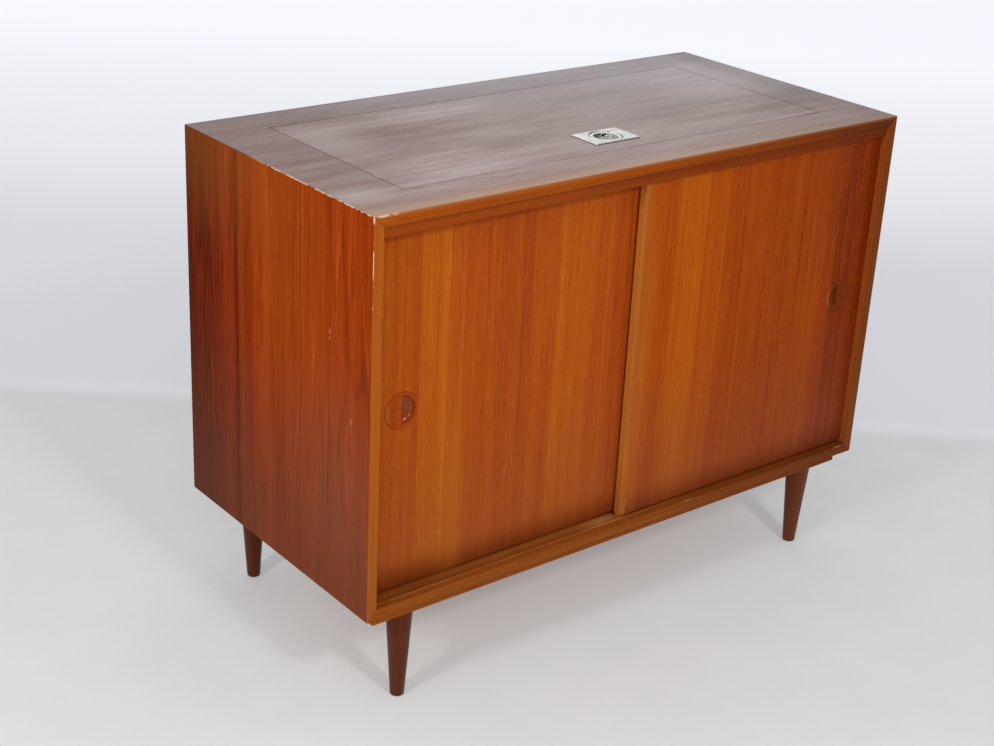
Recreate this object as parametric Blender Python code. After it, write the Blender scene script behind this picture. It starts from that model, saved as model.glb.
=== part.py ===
"""Teak bar cabinet with two sliding doors and a pivoting hatch in its top.

A mitred case of veneered boards stands on two battens and four turned legs. Two doors slide in
a grooved track, the left one behind the right one. A flush lid closes a bar well in the top. It
turns on hidden pivot plates near its back edge and is lifted by a ring in a dished metal plate.

Units are metres and +Z is up. The front faces -Y, and the origin is on the floor under the middle
of the case.
"""

import math

import bmesh
import bpy
from mathutils import Matrix, Vector

# Case
CASE_W = 1.000              # over the two sides
CASE_D = 0.485              # front edge to back edge
CASE_H = 0.590              # underside to top, without the legs
BOARD_T = 0.016             # veneered boards of the case
ARRIS = 0.0008              # softened edges
BACK_T = 0.005              # plywood back
BACK_REBATE = 0.008         # how far the back is let into the boards
BACK_INSET = 0.001          # how far the back lies inside the case
FIT = 0.0003                # gap between pieces that touch

# Legs and battens
LEG_L = 0.147
LEG_TOP_R = 0.020
LEG_FOOT_R = 0.0105
LEG_FOOT_ROUND = 0.002
LEG_SIDE_INSET = 0.083      # leg centre from the side of the case
LEG_EDGE_INSET = 0.039      # leg centre from the front or back edge
BATTEN_H = 0.020
BATTEN_W = 0.045
BATTEN_INSET = 0.021        # batten end from the side of the case
BOLT_R = 0.004
BOLT_IN_LEG = 0.030
BOLT_COVER = 0.004          # wood of the batten above a bolt

# Doors and their tracks
DOOR_T = 0.015
DOOR_SETBACK = 0.012        # front door's face from the case's front edge
DOOR_GAP = 0.004            # between the two doors
DOOR_OVERLAP = 0.044        # width where the closed doors cover each other
DOOR_END_PLAY = 0.0005      # closed door to the side of the case
DOOR_UNDERCUT = 0.006       # door's foot above the inside floor
DOOR_LIPPING_W = 0.010      # solid strip on the meeting edge
DOOR_LIPPING_ROUND = 0.002
TONGUE_T = 0.006            # tongue under each door
TONGUE_PLAY = 0.0005
TRACK_GROOVE = 0.006
TRACK_FLOOR = 0.003         # wood under the grooves of the track
TRACK_RIB = 0.0037          # wood in front of its first groove
TRACK_MARGIN = 0.005        # wood behind its last groove
GUIDE_RIB = 0.0065          # wood in front of the guide rail's first groove
GUIDE_WEB = 0.004           # wood above its grooves
GUIDE_REACH = 0.005         # how far a door stands up into its groove
GUIDE_PLAY = 0.0005
LIFT_CLEAR = 0.001          # room left when a door is lifted out of its track

# Finger pulls of the doors
DOOR_PULL_R = 0.02775
DOOR_PULL_INSET = 0.0555    # pull's centre from the door's outer end
DOOR_PULL_COVER = 0.0032    # wood of the door behind the pull
DOOR_PULL_RIM_W = 0.0052    # width of the raised bead
DOOR_PULL_RIM_H = 0.0016    # height of the bead above the door
SCOOP_R = 0.0190
SCOOP_FLOOR = 0.002         # wood of the pull under the scoop

# Hatch, lid and bar well
HATCH_SIDE = 0.097          # border of the top beside the hatch
HATCH_FRONT = 0.0765        # border in front of it
HATCH_BACK = 0.072          # border behind it
KERF = 0.002                # gap round the lid
SWING_CLEAR = 0.0005        # least gap between the turning lid and the border
LID_OPEN = math.radians(95)
WELL_DEPTH = 0.180
WELL_WALL_T = 0.014
WELL_GROOVE = 0.004         # how deep the walls are let into the floor
WELL_LEDGE = 0.006          # how far the lid rests on the walls
PIVOT_PLATE_T = 0.002
PIVOT_PLATE_COVER = 0.003   # wood above and below a pivot plate
PIVOT_PLATE_FRONT = 0.040   # plate's reach in front of the pivot
PIVOT_R = 0.0025
PIVOT_END = 0.002           # pin past the lid's plate

# Flush ring pull in the lid
PLATE_T = 0.0015
PLATE_WING = 0.0145         # plate beside the square round its dish
PLATE_MARGIN = 0.0004       # plate past the hollow in the lid
PLATE_CORNER_R = 0.003
PLATE_EDGE = 0.0006
PLATE_FROM_HATCH = 0.0595   # plate's centre behind the hatch's front edge
PLATE_OFFSET_X = 0.004      # plate's centre right of the lid's middle
DISH_WALL = 0.0014
DISH_FLOOR_T = 0.0012
DISH_DEPTH = 0.0108
DISH_LEDGE = 0.0040         # ledge that the ring lies on
POCKET_ROOM = 0.0007        # hollow in the lid round the dish
RING_OUTER_R = 0.0240
RING_W = 0.0056
RING_T = 0.0028
RING_PLAY = 0.0008          # above and below the ring
RING_SIDE_PLAY = 0.0020     # round the ring, so that its shoulders turn inside the dish
RING_PIN_IN = 0.0060        # ring's axis from its back edge
RING_PIN_R = 0.0013
RING_ROUND = 0.0010

# Inside
INSIDE_CLEAR = 0.006        # rear door to the boards behind it
SHELF_T = 0.014
SHELF_HEIGHT = 0.175        # shelf's underside above the inside floor
SHELF_PLAY = 0.001
SHELF_SETBACK = 0.020
SHELF_PIN_R = 0.0025
SHELF_PIN_IN = 0.008        # pin inside its board
SHELF_PIN_OUT = 0.012       # pin under the shelf
SHELF_PIN_INSET = 0.040     # pin from the shelf's front or back edge

# Segments of round pieces
ROUND_STEPS = 48
SMALL_STEPS = 20
BEAD_STEPS = 10
BOWL_STEPS = 8
FOOT_STEPS = 4
RING_STEPS = 3
EDGE_STEPS = 2
SMOOTH_ANGLE = math.radians(35)
MERGE_DIST = 1e-6           # points nearer than this are one point
SLICE_DIST = 1e-7           # points nearer than this lie on a slicing plane

# Places worked out from the sizes above
FRONT = -CASE_D / 2
BACK = CASE_D / 2
CASE_Z0 = LEG_L + BATTEN_H
CASE_Z1 = CASE_Z0 + CASE_H
HALF_W = CASE_W / 2
INNER_X = HALF_W - BOARD_T
INNER_Z0 = CASE_Z0 + BOARD_T
INNER_Z1 = CASE_Z1 - BOARD_T
REBATE_Y = BACK - BACK_T - BACK_INSET
FRONT_DOOR_Y = FRONT + DOOR_SETBACK
REAR_DOOR_Y = FRONT_DOOR_Y + DOOR_T + DOOR_GAP
TONGUE_IN = (DOOR_T - TONGUE_T) / 2
TRACK_H = TRACK_GROOVE + TRACK_FLOOR
TRACK_FRONT_Y = FRONT_DOOR_Y + TONGUE_IN - TONGUE_PLAY - TRACK_RIB
TRACK_BACK_Y = REAR_DOOR_Y + DOOR_T + TRACK_MARGIN
GUIDE_GROOVE = GUIDE_REACH + TRACK_GROOVE + LIFT_CLEAR
GUIDE_H = GUIDE_GROOVE + GUIDE_WEB
GUIDE_FRONT_Y = FRONT_DOOR_Y - GUIDE_PLAY - GUIDE_RIB
INSIDE_Y = REAR_DOOR_Y + DOOR_T + INSIDE_CLEAR
DOOR_W = INNER_X - DOOR_END_PLAY + DOOR_OVERLAP / 2
DOOR_PULL_X = INNER_X - DOOR_END_PLAY - DOOR_PULL_INSET
DOOR_PULL_Z = CASE_Z0 + CASE_H / 2
DOOR_PULL_DEPTH = DOOR_T - DOOR_PULL_COVER - FIT
SCOOP_DEPTH = DOOR_PULL_DEPTH - SCOOP_FLOOR
HATCH_X = HALF_W - HATCH_SIDE
HATCH_Y0 = FRONT + HATCH_FRONT
HATCH_Y1 = BACK - HATCH_BACK
LID_X = HATCH_X - KERF
LID_Y0 = HATCH_Y0 + KERF
LID_Y1 = HATCH_Y1 - KERF
SWING = KERF - SWING_CLEAR
LID_TAIL = ((BOARD_T / 2) ** 2 - SWING ** 2) / (2 * SWING)
PIVOT_Y = LID_Y1 - LID_TAIL
PIVOT_Z = CASE_Z1 - BOARD_T / 2
PIVOT_PLATE_BACK = LID_TAIL / 2
LEAN = LID_OPEN - math.pi / 2
WELL_FLOOR_Z = INNER_Z1 - WELL_DEPTH
WELL_FRONT_Y = LID_Y0 + WELL_LEDGE
WELL_SIDE_X = LID_X - WELL_LEDGE
WELL_STOP_Y = PIVOT_Y - BOARD_T / 2 * math.cos(LEAN) - LID_TAIL * math.sin(LEAN) - FIT
BAY_Z1 = WELL_FLOOR_Z - BOARD_T
PLATE_Z = CASE_Z1 + FIT + PLATE_T
PLATE_CENTRE = Vector((PLATE_OFFSET_X, HATCH_Y0 + PLATE_FROM_HATCH, PLATE_Z))
DISH_R = RING_OUTER_R + RING_SIDE_PLAY
CUP_R = DISH_R + DISH_WALL
POCKET_R = CUP_R + POCKET_ROOM
PLATE_D = 2 * (POCKET_R + PLATE_MARGIN)
PLATE_W = PLATE_D + 2 * PLATE_WING
RING_INNER_R = RING_OUTER_R - RING_W
RING_PIVOT = RING_OUTER_R - RING_PIN_IN
RING_Z = -RING_PLAY / 2 - RING_T / 2
DIP_DEPTH = math.hypot(RING_PIN_IN, RING_T / 2) + RING_PLAY - RING_Z
CUP_Z = -max(DISH_DEPTH, DIP_DEPTH) - DISH_FLOOR_T
SHELF_Z = INNER_Z0 + SHELF_HEIGHT


def make_finish(name, rgb, roughness, metallic=0.0):
    """Return a Principled material of one colour, given as linear red, green and blue."""
    finish = bpy.data.materials.new(name)
    finish.use_nodes = True
    shader = finish.node_tree.nodes["Principled BSDF"]
    shader.inputs["Base Color"].default_value = (*rgb, 1.0)
    shader.inputs["Roughness"].default_value = roughness
    shader.inputs["Metallic"].default_value = metallic
    return finish


def make_finishes():
    """Return every finish of the cabinet by name."""
    return {
        "side_veneer": make_finish("side_veneer", (0.24, 0.055, 0.016), 0.42),
        "top_veneer": make_finish("top_veneer", (0.27, 0.19, 0.16), 0.40),
        "door_veneer": make_finish("door_veneer", (0.42, 0.105, 0.018), 0.42),
        "lipping": make_finish("lipping", (0.35, 0.10, 0.026), 0.45),
        "inside_veneer": make_finish("inside_veneer", (0.36, 0.16, 0.06), 0.50),
        "dark_teak": make_finish("dark_teak", (0.12, 0.035, 0.018), 0.45),
        "plywood": make_finish("plywood", (0.45, 0.30, 0.17), 0.65),
        "nickel": make_finish("nickel", (0.62, 0.62, 0.57), 0.28, 1.0),
        "brass": make_finish("brass", (0.62, 0.45, 0.18), 0.35, 1.0),
        "steel": make_finish("steel", (0.45, 0.45, 0.46), 0.40, 1.0),
    }


def clear_scene():
    """Remove the objects that are in the scene."""
    for obj in list(bpy.data.objects):
        bpy.data.objects.remove(obj, do_unlink=True)


def joint_empty(name, place):
    """Return an empty on a joint's axis, for the moving pieces to hang from."""
    empty = bpy.data.objects.new(name, None)
    empty.location = place
    bpy.context.scene.collection.objects.link(empty)
    return empty


def add_object(name, bm, finish, parent=None):
    """Turn a bmesh, drawn where the piece stands, into a named object."""
    bmesh.ops.recalc_face_normals(bm, faces=bm.faces)
    mesh = bpy.data.meshes.new(name)
    bm.to_mesh(mesh)
    bm.free()
    if finish is not None:
        mesh.materials.append(finish)
    mesh.shade_smooth()
    mesh.set_sharp_from_angle(angle=SMOOTH_ANGLE)
    obj = bpy.data.objects.new(name, mesh)
    bpy.context.scene.collection.objects.link(obj)
    if parent is not None:
        obj.parent = parent
        obj.matrix_parent_inverse = Matrix.Translation(parent.location).inverted()
    return obj


def combine(obj, bm, operation="DIFFERENCE"):
    """Cut a shape out of an object, or join it on, with a Boolean modifier."""
    tool = add_object(f"{obj.name}_tool_{len(obj.modifiers)}", bm, None)
    tool.display_type = "WIRE"
    tool.hide_render = True
    modifier = obj.modifiers.new(tool.name, "BOOLEAN")
    modifier.operation = operation
    modifier.object = tool


def bevel_edges(bm, edges, width):
    """Round the given edges of a bmesh."""
    bmesh.ops.bevel(bm, geom=edges, offset=width, offset_type="OFFSET", segments=EDGE_STEPS,
                    profile=0.5, affect="EDGES", material=-1)


def edges_where(bm, test):
    """Return the edges whose two ends both pass a test."""
    return [edge for edge in bm.edges if all(test(vert.co) for vert in edge.verts)]


def box(low, high):
    """Return a plain box between two corners."""
    low, high = Vector(low), Vector(high)
    bm = bmesh.new()
    place = Matrix.Translation((low + high) / 2) @ Matrix.Diagonal((*(high - low), 1.0))
    bmesh.ops.create_cube(bm, size=1.0, matrix=place)
    return bm


def soft_box(low, high, width=ARRIS):
    """Return a box with all its edges softened."""
    bm = box(low, high)
    bevel_edges(bm, bm.edges[:], width)
    return bm


def extruded(outline, along):
    """Return an outline of points in space, extruded along a vector."""
    bm = bmesh.new()
    face = bm.faces.new([bm.verts.new(point) for point in outline])
    grown = bmesh.ops.extrude_face_region(bm, geom=[face])["geom"]
    moved = [item for item in grown if isinstance(item, bmesh.types.BMVert)]
    bmesh.ops.translate(bm, verts=moved, vec=along)
    return bm


def turned(profile, place, steps=ROUND_STEPS):
    """Return a profile of (radius, height) points turned about Z, then put in its place."""
    bm = bmesh.new()
    verts = [bm.verts.new((radius, 0.0, height)) for radius, height in profile]
    edges = [bm.edges.new(pair) for pair in zip(verts, verts[1:])]
    bmesh.ops.spin(bm, geom=verts + edges, cent=(0, 0, 0), axis=(0, 0, 1),
                   angle=2 * math.pi, steps=steps, use_merge=True)
    bmesh.ops.remove_doubles(bm, verts=bm.verts, dist=MERGE_DIST)
    bmesh.ops.transform(bm, matrix=place, verts=bm.verts)
    return bm


def rod(radius, start, end, steps=SMALL_STEPS):
    """Return a round rod between two points."""
    start, end = Vector(start), Vector(end)
    turn = (end - start).to_track_quat("Z", "Y").to_matrix().to_4x4()
    length = (end - start).length
    profile = [(0, 0), (radius, 0), (radius, length), (0, length)]
    return turned(profile, Matrix.Translation(start) @ turn, steps)


def arc(centre, radius, start, end, steps):
    """Return points along an arc, from one angle in degrees to another."""
    angles = [math.radians(start + (end - start) * step / steps) for step in range(steps + 1)]
    return [(centre[0] + radius * math.cos(a), centre[1] + radius * math.sin(a)) for a in angles]


def keep_side(bm, place, normal):
    """Slice a closed bmesh by a plane, keep the side that the normal points to, and close it."""
    whole = bm.verts[:] + bm.edges[:] + bm.faces[:]
    bmesh.ops.bisect_plane(bm, geom=whole, dist=SLICE_DIST, plane_co=place, plane_no=normal,
                           clear_inner=True)
    bmesh.ops.holes_fill(bm, edges=[edge for edge in bm.edges if edge.is_boundary], sides=0)


def mitred_outline(length):
    """Return a case board's end view as (along, inwards) points, mitred at both ends."""
    back_off = FIT * math.sqrt(0.5)
    tip = ((ARRIS + back_off) / 2, (ARRIS - back_off) / 2)
    heel = BOARD_T + back_off
    return [(ARRIS, 0), (length - ARRIS, 0), (length - tip[0], tip[1]), (length - heel, BOARD_T),
            (heel, BOARD_T), tip]


def mitred_board(name, length, place, y0, y1, finish):
    """Make one board of the case, where place turns (along, inwards) into (x, z)."""
    outline = []
    for along, inwards in mitred_outline(length):
        x, z = place(along, inwards)
        outline.append((x, y0, z))
    bm = extruded(outline, (0, y1 - y0, 0))
    bevel_edges(bm, edges_where(bm, lambda co: abs(co.y - y0) < FIT / 2), ARRIS / 2)
    return add_object(name, bm, finish)


def build_case(finishes):
    """Make the four mitred boards, the front lipping and the back of the case."""
    veneer = finishes["side_veneer"]
    left = mitred_board("left_side", CASE_H, lambda u, v: (-HALF_W + v, CASE_Z0 + u),
                        FRONT, BACK, veneer)
    right = mitred_board("right_side", CASE_H, lambda u, v: (HALF_W - v, CASE_Z0 + u),
                         FRONT, BACK, veneer)
    top = mitred_board("top_panel", CASE_W, lambda u, v: (-HALF_W + u, CASE_Z1 - v),
                       FRONT, BACK, finishes["top_veneer"])
    mitred_board("bottom_lipping", CASE_W, lambda u, v: (-HALF_W + u, CASE_Z0 + v),
                 FRONT, TRACK_FRONT_Y - FIT, finishes["lipping"])
    bottom = mitred_board("bottom_panel", CASE_W, lambda u, v: (-HALF_W + u, CASE_Z0 + v),
                          TRACK_FRONT_Y, BACK, finishes["inside_veneer"])
    rebate_x = INNER_X + BACK_REBATE
    rebate_z0 = INNER_Z0 - BACK_REBATE
    rebate_z1 = INNER_Z1 + BACK_REBATE
    for board in (left, right, top, bottom):
        combine(board, box((-rebate_x, REBATE_Y, rebate_z0), (rebate_x, BACK + BACK_T, rebate_z1)))
    add_object("back_panel", box((-rebate_x + FIT, REBATE_Y + FIT, rebate_z0 + FIT),
                                 (rebate_x - FIT, REBATE_Y + BACK_T, rebate_z1 - FIT)),
               finishes["plywood"])
    combine(top, box((-HATCH_X, HATCH_Y0, INNER_Z1 - BOARD_T), (HATCH_X, HATCH_Y1, CASE_Z1 + BOARD_T)))
    track_room = box((-CASE_W, FRONT, INNER_Z0 - TRACK_H - FIT),
                     (CASE_W, TRACK_BACK_Y + FIT, INNER_Z0 + BOARD_T))
    combine(bottom, track_room)
    return {"left": left, "top": top}


def grooved_outline(y0, y1, z_plain, z_grooved, grooves, depth):
    """Return the (y, z) end view of a rail with grooves cut into one of its faces."""
    into = depth if z_plain > z_grooved else -depth
    points = [(y0, z_plain), (y0, z_grooved)]
    for start, end in grooves:
        points += [(start, z_grooved), (start, z_grooved + into),
                   (end, z_grooved + into), (end, z_grooved)]
    return points + [(y1, z_grooved), (y1, z_plain)]


def add_rail(name, outline, x_end, finish):
    """Make a rail of one end view that runs across the inside of the case."""
    points = [(-x_end, y, z) for y, z in outline]
    return add_object(name, extruded(points, (2 * x_end, 0, 0)), finish)


def build_tracks(finishes):
    """Make the bottom track and the top guide rail that the doors run in."""
    tongue_starts = [y + TONGUE_IN for y in (FRONT_DOOR_Y, REAR_DOOR_Y)]
    grooves = [(y - TONGUE_PLAY, y + TONGUE_T + TONGUE_PLAY) for y in tongue_starts]
    outline = grooved_outline(TRACK_FRONT_Y, TRACK_BACK_Y, INNER_Z0 - TRACK_H, INNER_Z0,
                              grooves, TRACK_GROOVE)
    add_rail("door_track", outline, INNER_X - FIT, finishes["lipping"])
    grooves = [(y - GUIDE_PLAY, y + DOOR_T + GUIDE_PLAY) for y in (FRONT_DOOR_Y, REAR_DOOR_Y)]
    outline = grooved_outline(GUIDE_FRONT_Y, TRACK_BACK_Y, INNER_Z1 - FIT, INNER_Z1 - GUIDE_H,
                              grooves, GUIDE_GROOVE)
    add_rail("guide_rail", outline, INNER_X - FIT, finishes["lipping"])


def build_legs(finishes):
    """Make the two battens under the case and the four legs bolted to them."""
    leg_x = HALF_W - LEG_SIDE_INSET
    batten_x = HALF_W - BATTEN_INSET
    foot = arc((LEG_FOOT_R - LEG_FOOT_ROUND, LEG_FOOT_ROUND), LEG_FOOT_ROUND, -90, 0, FOOT_STEPS)
    profile = [(0, 0), *foot, (LEG_TOP_R, LEG_L - FIT), (0, LEG_L - FIT)]
    bolt_z = (LEG_L - BOLT_IN_LEG, CASE_Z0 - BOLT_COVER)
    for row, way in (("front", -1), ("rear", 1)):
        leg_y = way * (CASE_D / 2 - LEG_EDGE_INSET)
        low = (-batten_x, leg_y - BATTEN_W / 2, LEG_L)
        high = (batten_x, leg_y + BATTEN_W / 2, CASE_Z0 - FIT)
        batten = add_object(f"{row}_batten", soft_box(low, high), finishes["lipping"])
        for hand, side in (("left", -1), ("right", 1)):
            spot = Vector((side * leg_x, leg_y, 0))
            leg = add_object(f"leg_{row}_{hand}", turned(profile, Matrix.Translation(spot)),
                             finishes["dark_teak"])
            ends = [spot + Vector((0, 0, z)) for z in bolt_z]
            add_object(f"leg_bolt_{row}_{hand}", rod(BOLT_R, *ends), finishes["steel"])
            past = Vector((0, 0, FIT))
            for holder in (leg, batten):
                combine(holder, rod(BOLT_R + FIT, ends[0] - past, ends[1] + past))


def door_outline(y0):
    """Return a door's (y, z) end view, with the tongue under its foot."""
    y1 = y0 + DOOR_T
    foot = INNER_Z0 + DOOR_UNDERCUT
    head = INNER_Z1 - GUIDE_H + GUIDE_REACH
    tip = INNER_Z0 - TRACK_GROOVE + FIT
    tongue0 = y0 + TONGUE_IN
    tongue1 = tongue0 + TONGUE_T
    return [(y0, foot), (tongue0, foot), (tongue0, tip), (tongue1, tip), (tongue1, foot),
            (y1, foot), (y1, head), (y0, head)]


def door_pull(centre, inner_way):
    """Return a turned finger pull facing -Y, scooped out on the side that inner_way points to."""
    bead_r = DOOR_PULL_RIM_W / 2
    outer_r = DOOR_PULL_R - FIT
    bead = [(outer_r - bead_r + bead_r * out, DOOR_PULL_RIM_H * up)
            for out, up in arc((0, 0), 1, 0, 180, BEAD_STEPS)]
    profile = [(0, -DOOR_PULL_DEPTH), (outer_r, -DOOR_PULL_DEPTH), *bead, (0, 0)]
    place = Matrix.Translation(centre) @ Matrix.Rotation(math.pi / 2, 4, "X")
    bm = turned(profile, place)
    scoop = bmesh.new()
    bmesh.ops.create_uvsphere(scoop, u_segments=ROUND_STEPS, v_segments=ROUND_STEPS // 3, radius=1.0)
    shape = Matrix.Diagonal((SCOOP_R, SCOOP_R, SCOOP_DEPTH, 1.0))
    bmesh.ops.transform(scoop, matrix=place @ shape, verts=scoop.verts)
    keep_side(scoop, centre, (inner_way, 0, 0))
    return bm, scoop


def build_door(hand, side, y0, finishes):
    """Make one sliding door: its panel, the strip on its meeting edge and its finger pull."""
    outer_x = side * (INNER_X - DOOR_END_PLAY)
    inner_x = outer_x - side * DOOR_W
    strip_x = inner_x + side * DOOR_LIPPING_W
    panel_x = strip_x + side * FIT
    pull_centre = Vector((side * DOOR_PULL_X, y0, DOOR_PULL_Z))
    axis = joint_empty(f"{hand}_door_slide", pull_centre)
    outline = door_outline(y0)
    points = [(panel_x, y, z) for y, z in outline]
    panel = add_object(f"{hand}_door", extruded(points, (outer_x - panel_x, 0, 0)),
                       finishes["door_veneer"], axis)
    points = [(inner_x, y, z) for y, z in outline]
    strip = extruded(points, (strip_x - inner_x, 0, 0))
    corners = edges_where(strip, lambda co: abs(co.x - inner_x) < FIT
                          and min(abs(co.y - y0), abs(co.y - y0 - DOOR_T)) < FIT)
    upright = [edge for edge in corners if abs(edge.verts[0].co.z - edge.verts[1].co.z) > DOOR_T]
    bevel_edges(strip, upright, DOOR_LIPPING_ROUND)
    add_object(f"{hand}_door_lipping", strip, finishes["lipping"], axis)
    pull, scoop = door_pull(pull_centre, -side)
    pull = add_object(f"{hand}_door_pull", pull, finishes["lipping"], axis)
    combine(pull, scoop)
    seat = Vector((0, DOOR_PULL_DEPTH + FIT, 0))
    combine(panel, rod(DOOR_PULL_R, pull_centre - seat, pull_centre + seat, ROUND_STEPS))


def build_well(finishes):
    """Make the fixed floor of the bar well and the four walls let into it."""
    veneer = finishes["inside_veneer"]
    floor = add_object("well_floor", soft_box((-INNER_X + FIT, INSIDE_Y, BAY_Z1),
                                              (INNER_X - FIT, REBATE_Y, WELL_FLOOR_Z)), veneer)
    z0 = WELL_FLOOR_Z - WELL_GROOVE + FIT
    z1 = INNER_Z1 - FIT
    outer_x = WELL_SIDE_X + WELL_WALL_T
    back_x = WELL_SIDE_X - FIT
    side_y = WELL_FRONT_Y + FIT
    walls = {
        "front": ((-outer_x, WELL_FRONT_Y - WELL_WALL_T), (outer_x, WELL_FRONT_Y)),
        "back": ((-back_x, WELL_STOP_Y - WELL_WALL_T), (back_x, WELL_STOP_Y)),
        "left": ((-outer_x, side_y), (-WELL_SIDE_X, WELL_STOP_Y)),
        "right": ((WELL_SIDE_X, side_y), (outer_x, WELL_STOP_Y)),
    }
    room = Vector((FIT, FIT, FIT))
    for name, (low, high) in walls.items():
        low, high = Vector((*low, z0)), Vector((*high, z1))
        add_object(f"well_{name}", box(low, high), veneer)
        combine(floor, box(low - room, high + room))


def build_shelving(case, finishes):
    """Make the upright between the two bays, and the shelf on its pins in the left bay."""
    half = BOARD_T / 2
    upright = soft_box((-half, INSIDE_Y, INNER_Z0 + FIT), (half, REBATE_Y, BAY_Z1 - FIT))
    partition = add_object("centre_partition", upright, finishes["inside_veneer"])
    y0 = INSIDE_Y + SHELF_SETBACK
    y1 = REBATE_Y - SHELF_PLAY
    shelf = soft_box((-INNER_X + SHELF_PLAY, y0, SHELF_Z), (-half - SHELF_PLAY, y1, SHELF_Z + SHELF_T))
    add_object("shelf", shelf, finishes["inside_veneer"])
    pin_z = SHELF_Z - FIT - SHELF_PIN_R
    number = 0
    for holder, wall_x, way in ((case["left"], -INNER_X, 1), (partition, -half, -1)):
        for pin_y in (y0 + SHELF_PIN_INSET, y1 - SHELF_PIN_INSET):
            number += 1
            deep = Vector((wall_x - way * SHELF_PIN_IN, pin_y, pin_z))
            tip = Vector((wall_x + way * SHELF_PIN_OUT, pin_y, pin_z))
            add_object(f"shelf_pin_{number}", rod(SHELF_PIN_R, deep, tip), finishes["brass"])
            past = Vector((way * FIT, 0, 0))
            combine(holder, rod(SHELF_PIN_R + FIT, deep - past, tip))


def pivot_box(x0, x1, room=0.0):
    """Return the box of a pivot plate between two x places, with room left round it."""
    reach = BOARD_T / 2 - PIVOT_PLATE_COVER + room
    return box((min(x0, x1), PIVOT_Y - PIVOT_PLATE_FRONT - room, PIVOT_Z - reach),
               (max(x0, x1), PIVOT_Y + PIVOT_PLATE_BACK + room, PIVOT_Z + reach))


def build_lid(case, finishes):
    """Make the lid, and the pivot plates that carry it, and return it with its joint's empty."""
    axis = joint_empty("lid_hinge", (0, PIVOT_Y, PIVOT_Z))
    bm = box((-LID_X, LID_Y0, INNER_Z1), (LID_X, LID_Y1, CASE_Z1))
    bevel_edges(bm, edges_where(bm, lambda co: co.z > PIVOT_Z), ARRIS / 2)
    lid = add_object("lid", bm, finishes["top_veneer"], axis)
    for hand, side in (("left", -1), ("right", 1)):
        fixed_x = side * HATCH_X
        fixed_deep = fixed_x + side * PIVOT_PLATE_T
        lid_x = side * LID_X
        lid_deep = lid_x - side * PIVOT_PLATE_T
        pin_tip = Vector((lid_deep - side * PIVOT_END, PIVOT_Y, PIVOT_Z))
        pin_root = Vector(((fixed_x + fixed_deep) / 2, PIVOT_Y, PIVOT_Z))
        past = Vector((side * FIT, 0, 0))
        combine(case["top"], pivot_box(fixed_x - side * KERF, fixed_deep + side * FIT, FIT))
        fixed = add_object(f"lid_pivot_{hand}", pivot_box(fixed_x, fixed_deep), finishes["brass"])
        combine(fixed, rod(PIVOT_R, pin_root, pin_tip), "UNION")
        combine(lid, pivot_box(lid_x + side * KERF, lid_deep - side * FIT, FIT))
        combine(lid, rod(PIVOT_R + FIT, pin_root, pin_tip - past))
        bearing = add_object(f"lid_bearing_{hand}", pivot_box(lid_x, lid_deep), finishes["brass"], axis)
        combine(bearing, rod(PIVOT_R + FIT, pin_root, pin_tip - past))
    return lid, axis


def dish_profile(top):
    """Return the turned profile of the dish's hollow, with the ledge that the ring lies on."""
    ledge_z = RING_Z - RING_T / 2 - RING_PLAY / 2
    bowl_r = DISH_R - DISH_LEDGE
    sag = DISH_DEPTH + ledge_z
    sphere_r = (bowl_r ** 2 + sag ** 2) / (2 * sag)
    sweep = math.degrees(math.asin(bowl_r / sphere_r))
    bowl = arc((0, sphere_r - DISH_DEPTH), sphere_r, -90 + sweep, -90, BOWL_STEPS)
    return [(0, top), (DISH_R, top), (DISH_R, ledge_z), *bowl[:-1], (0, -DISH_DEPTH)]


def ring_profile():
    """Return the closed section of the lift ring, a bar with rounded corners."""
    z0 = RING_Z - RING_T / 2 + RING_ROUND
    z1 = RING_Z + RING_T / 2 - RING_ROUND
    r0 = RING_INNER_R + RING_ROUND
    r1 = RING_OUTER_R - RING_ROUND
    section = []
    for corner, start in (((r1, z1), 90), ((r1, z0), 0), ((r0, z0), -90), ((r0, z1), -180)):
        section += arc(corner, RING_ROUND, start, start - 90, RING_STEPS)
    return section + section[:1]


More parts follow.
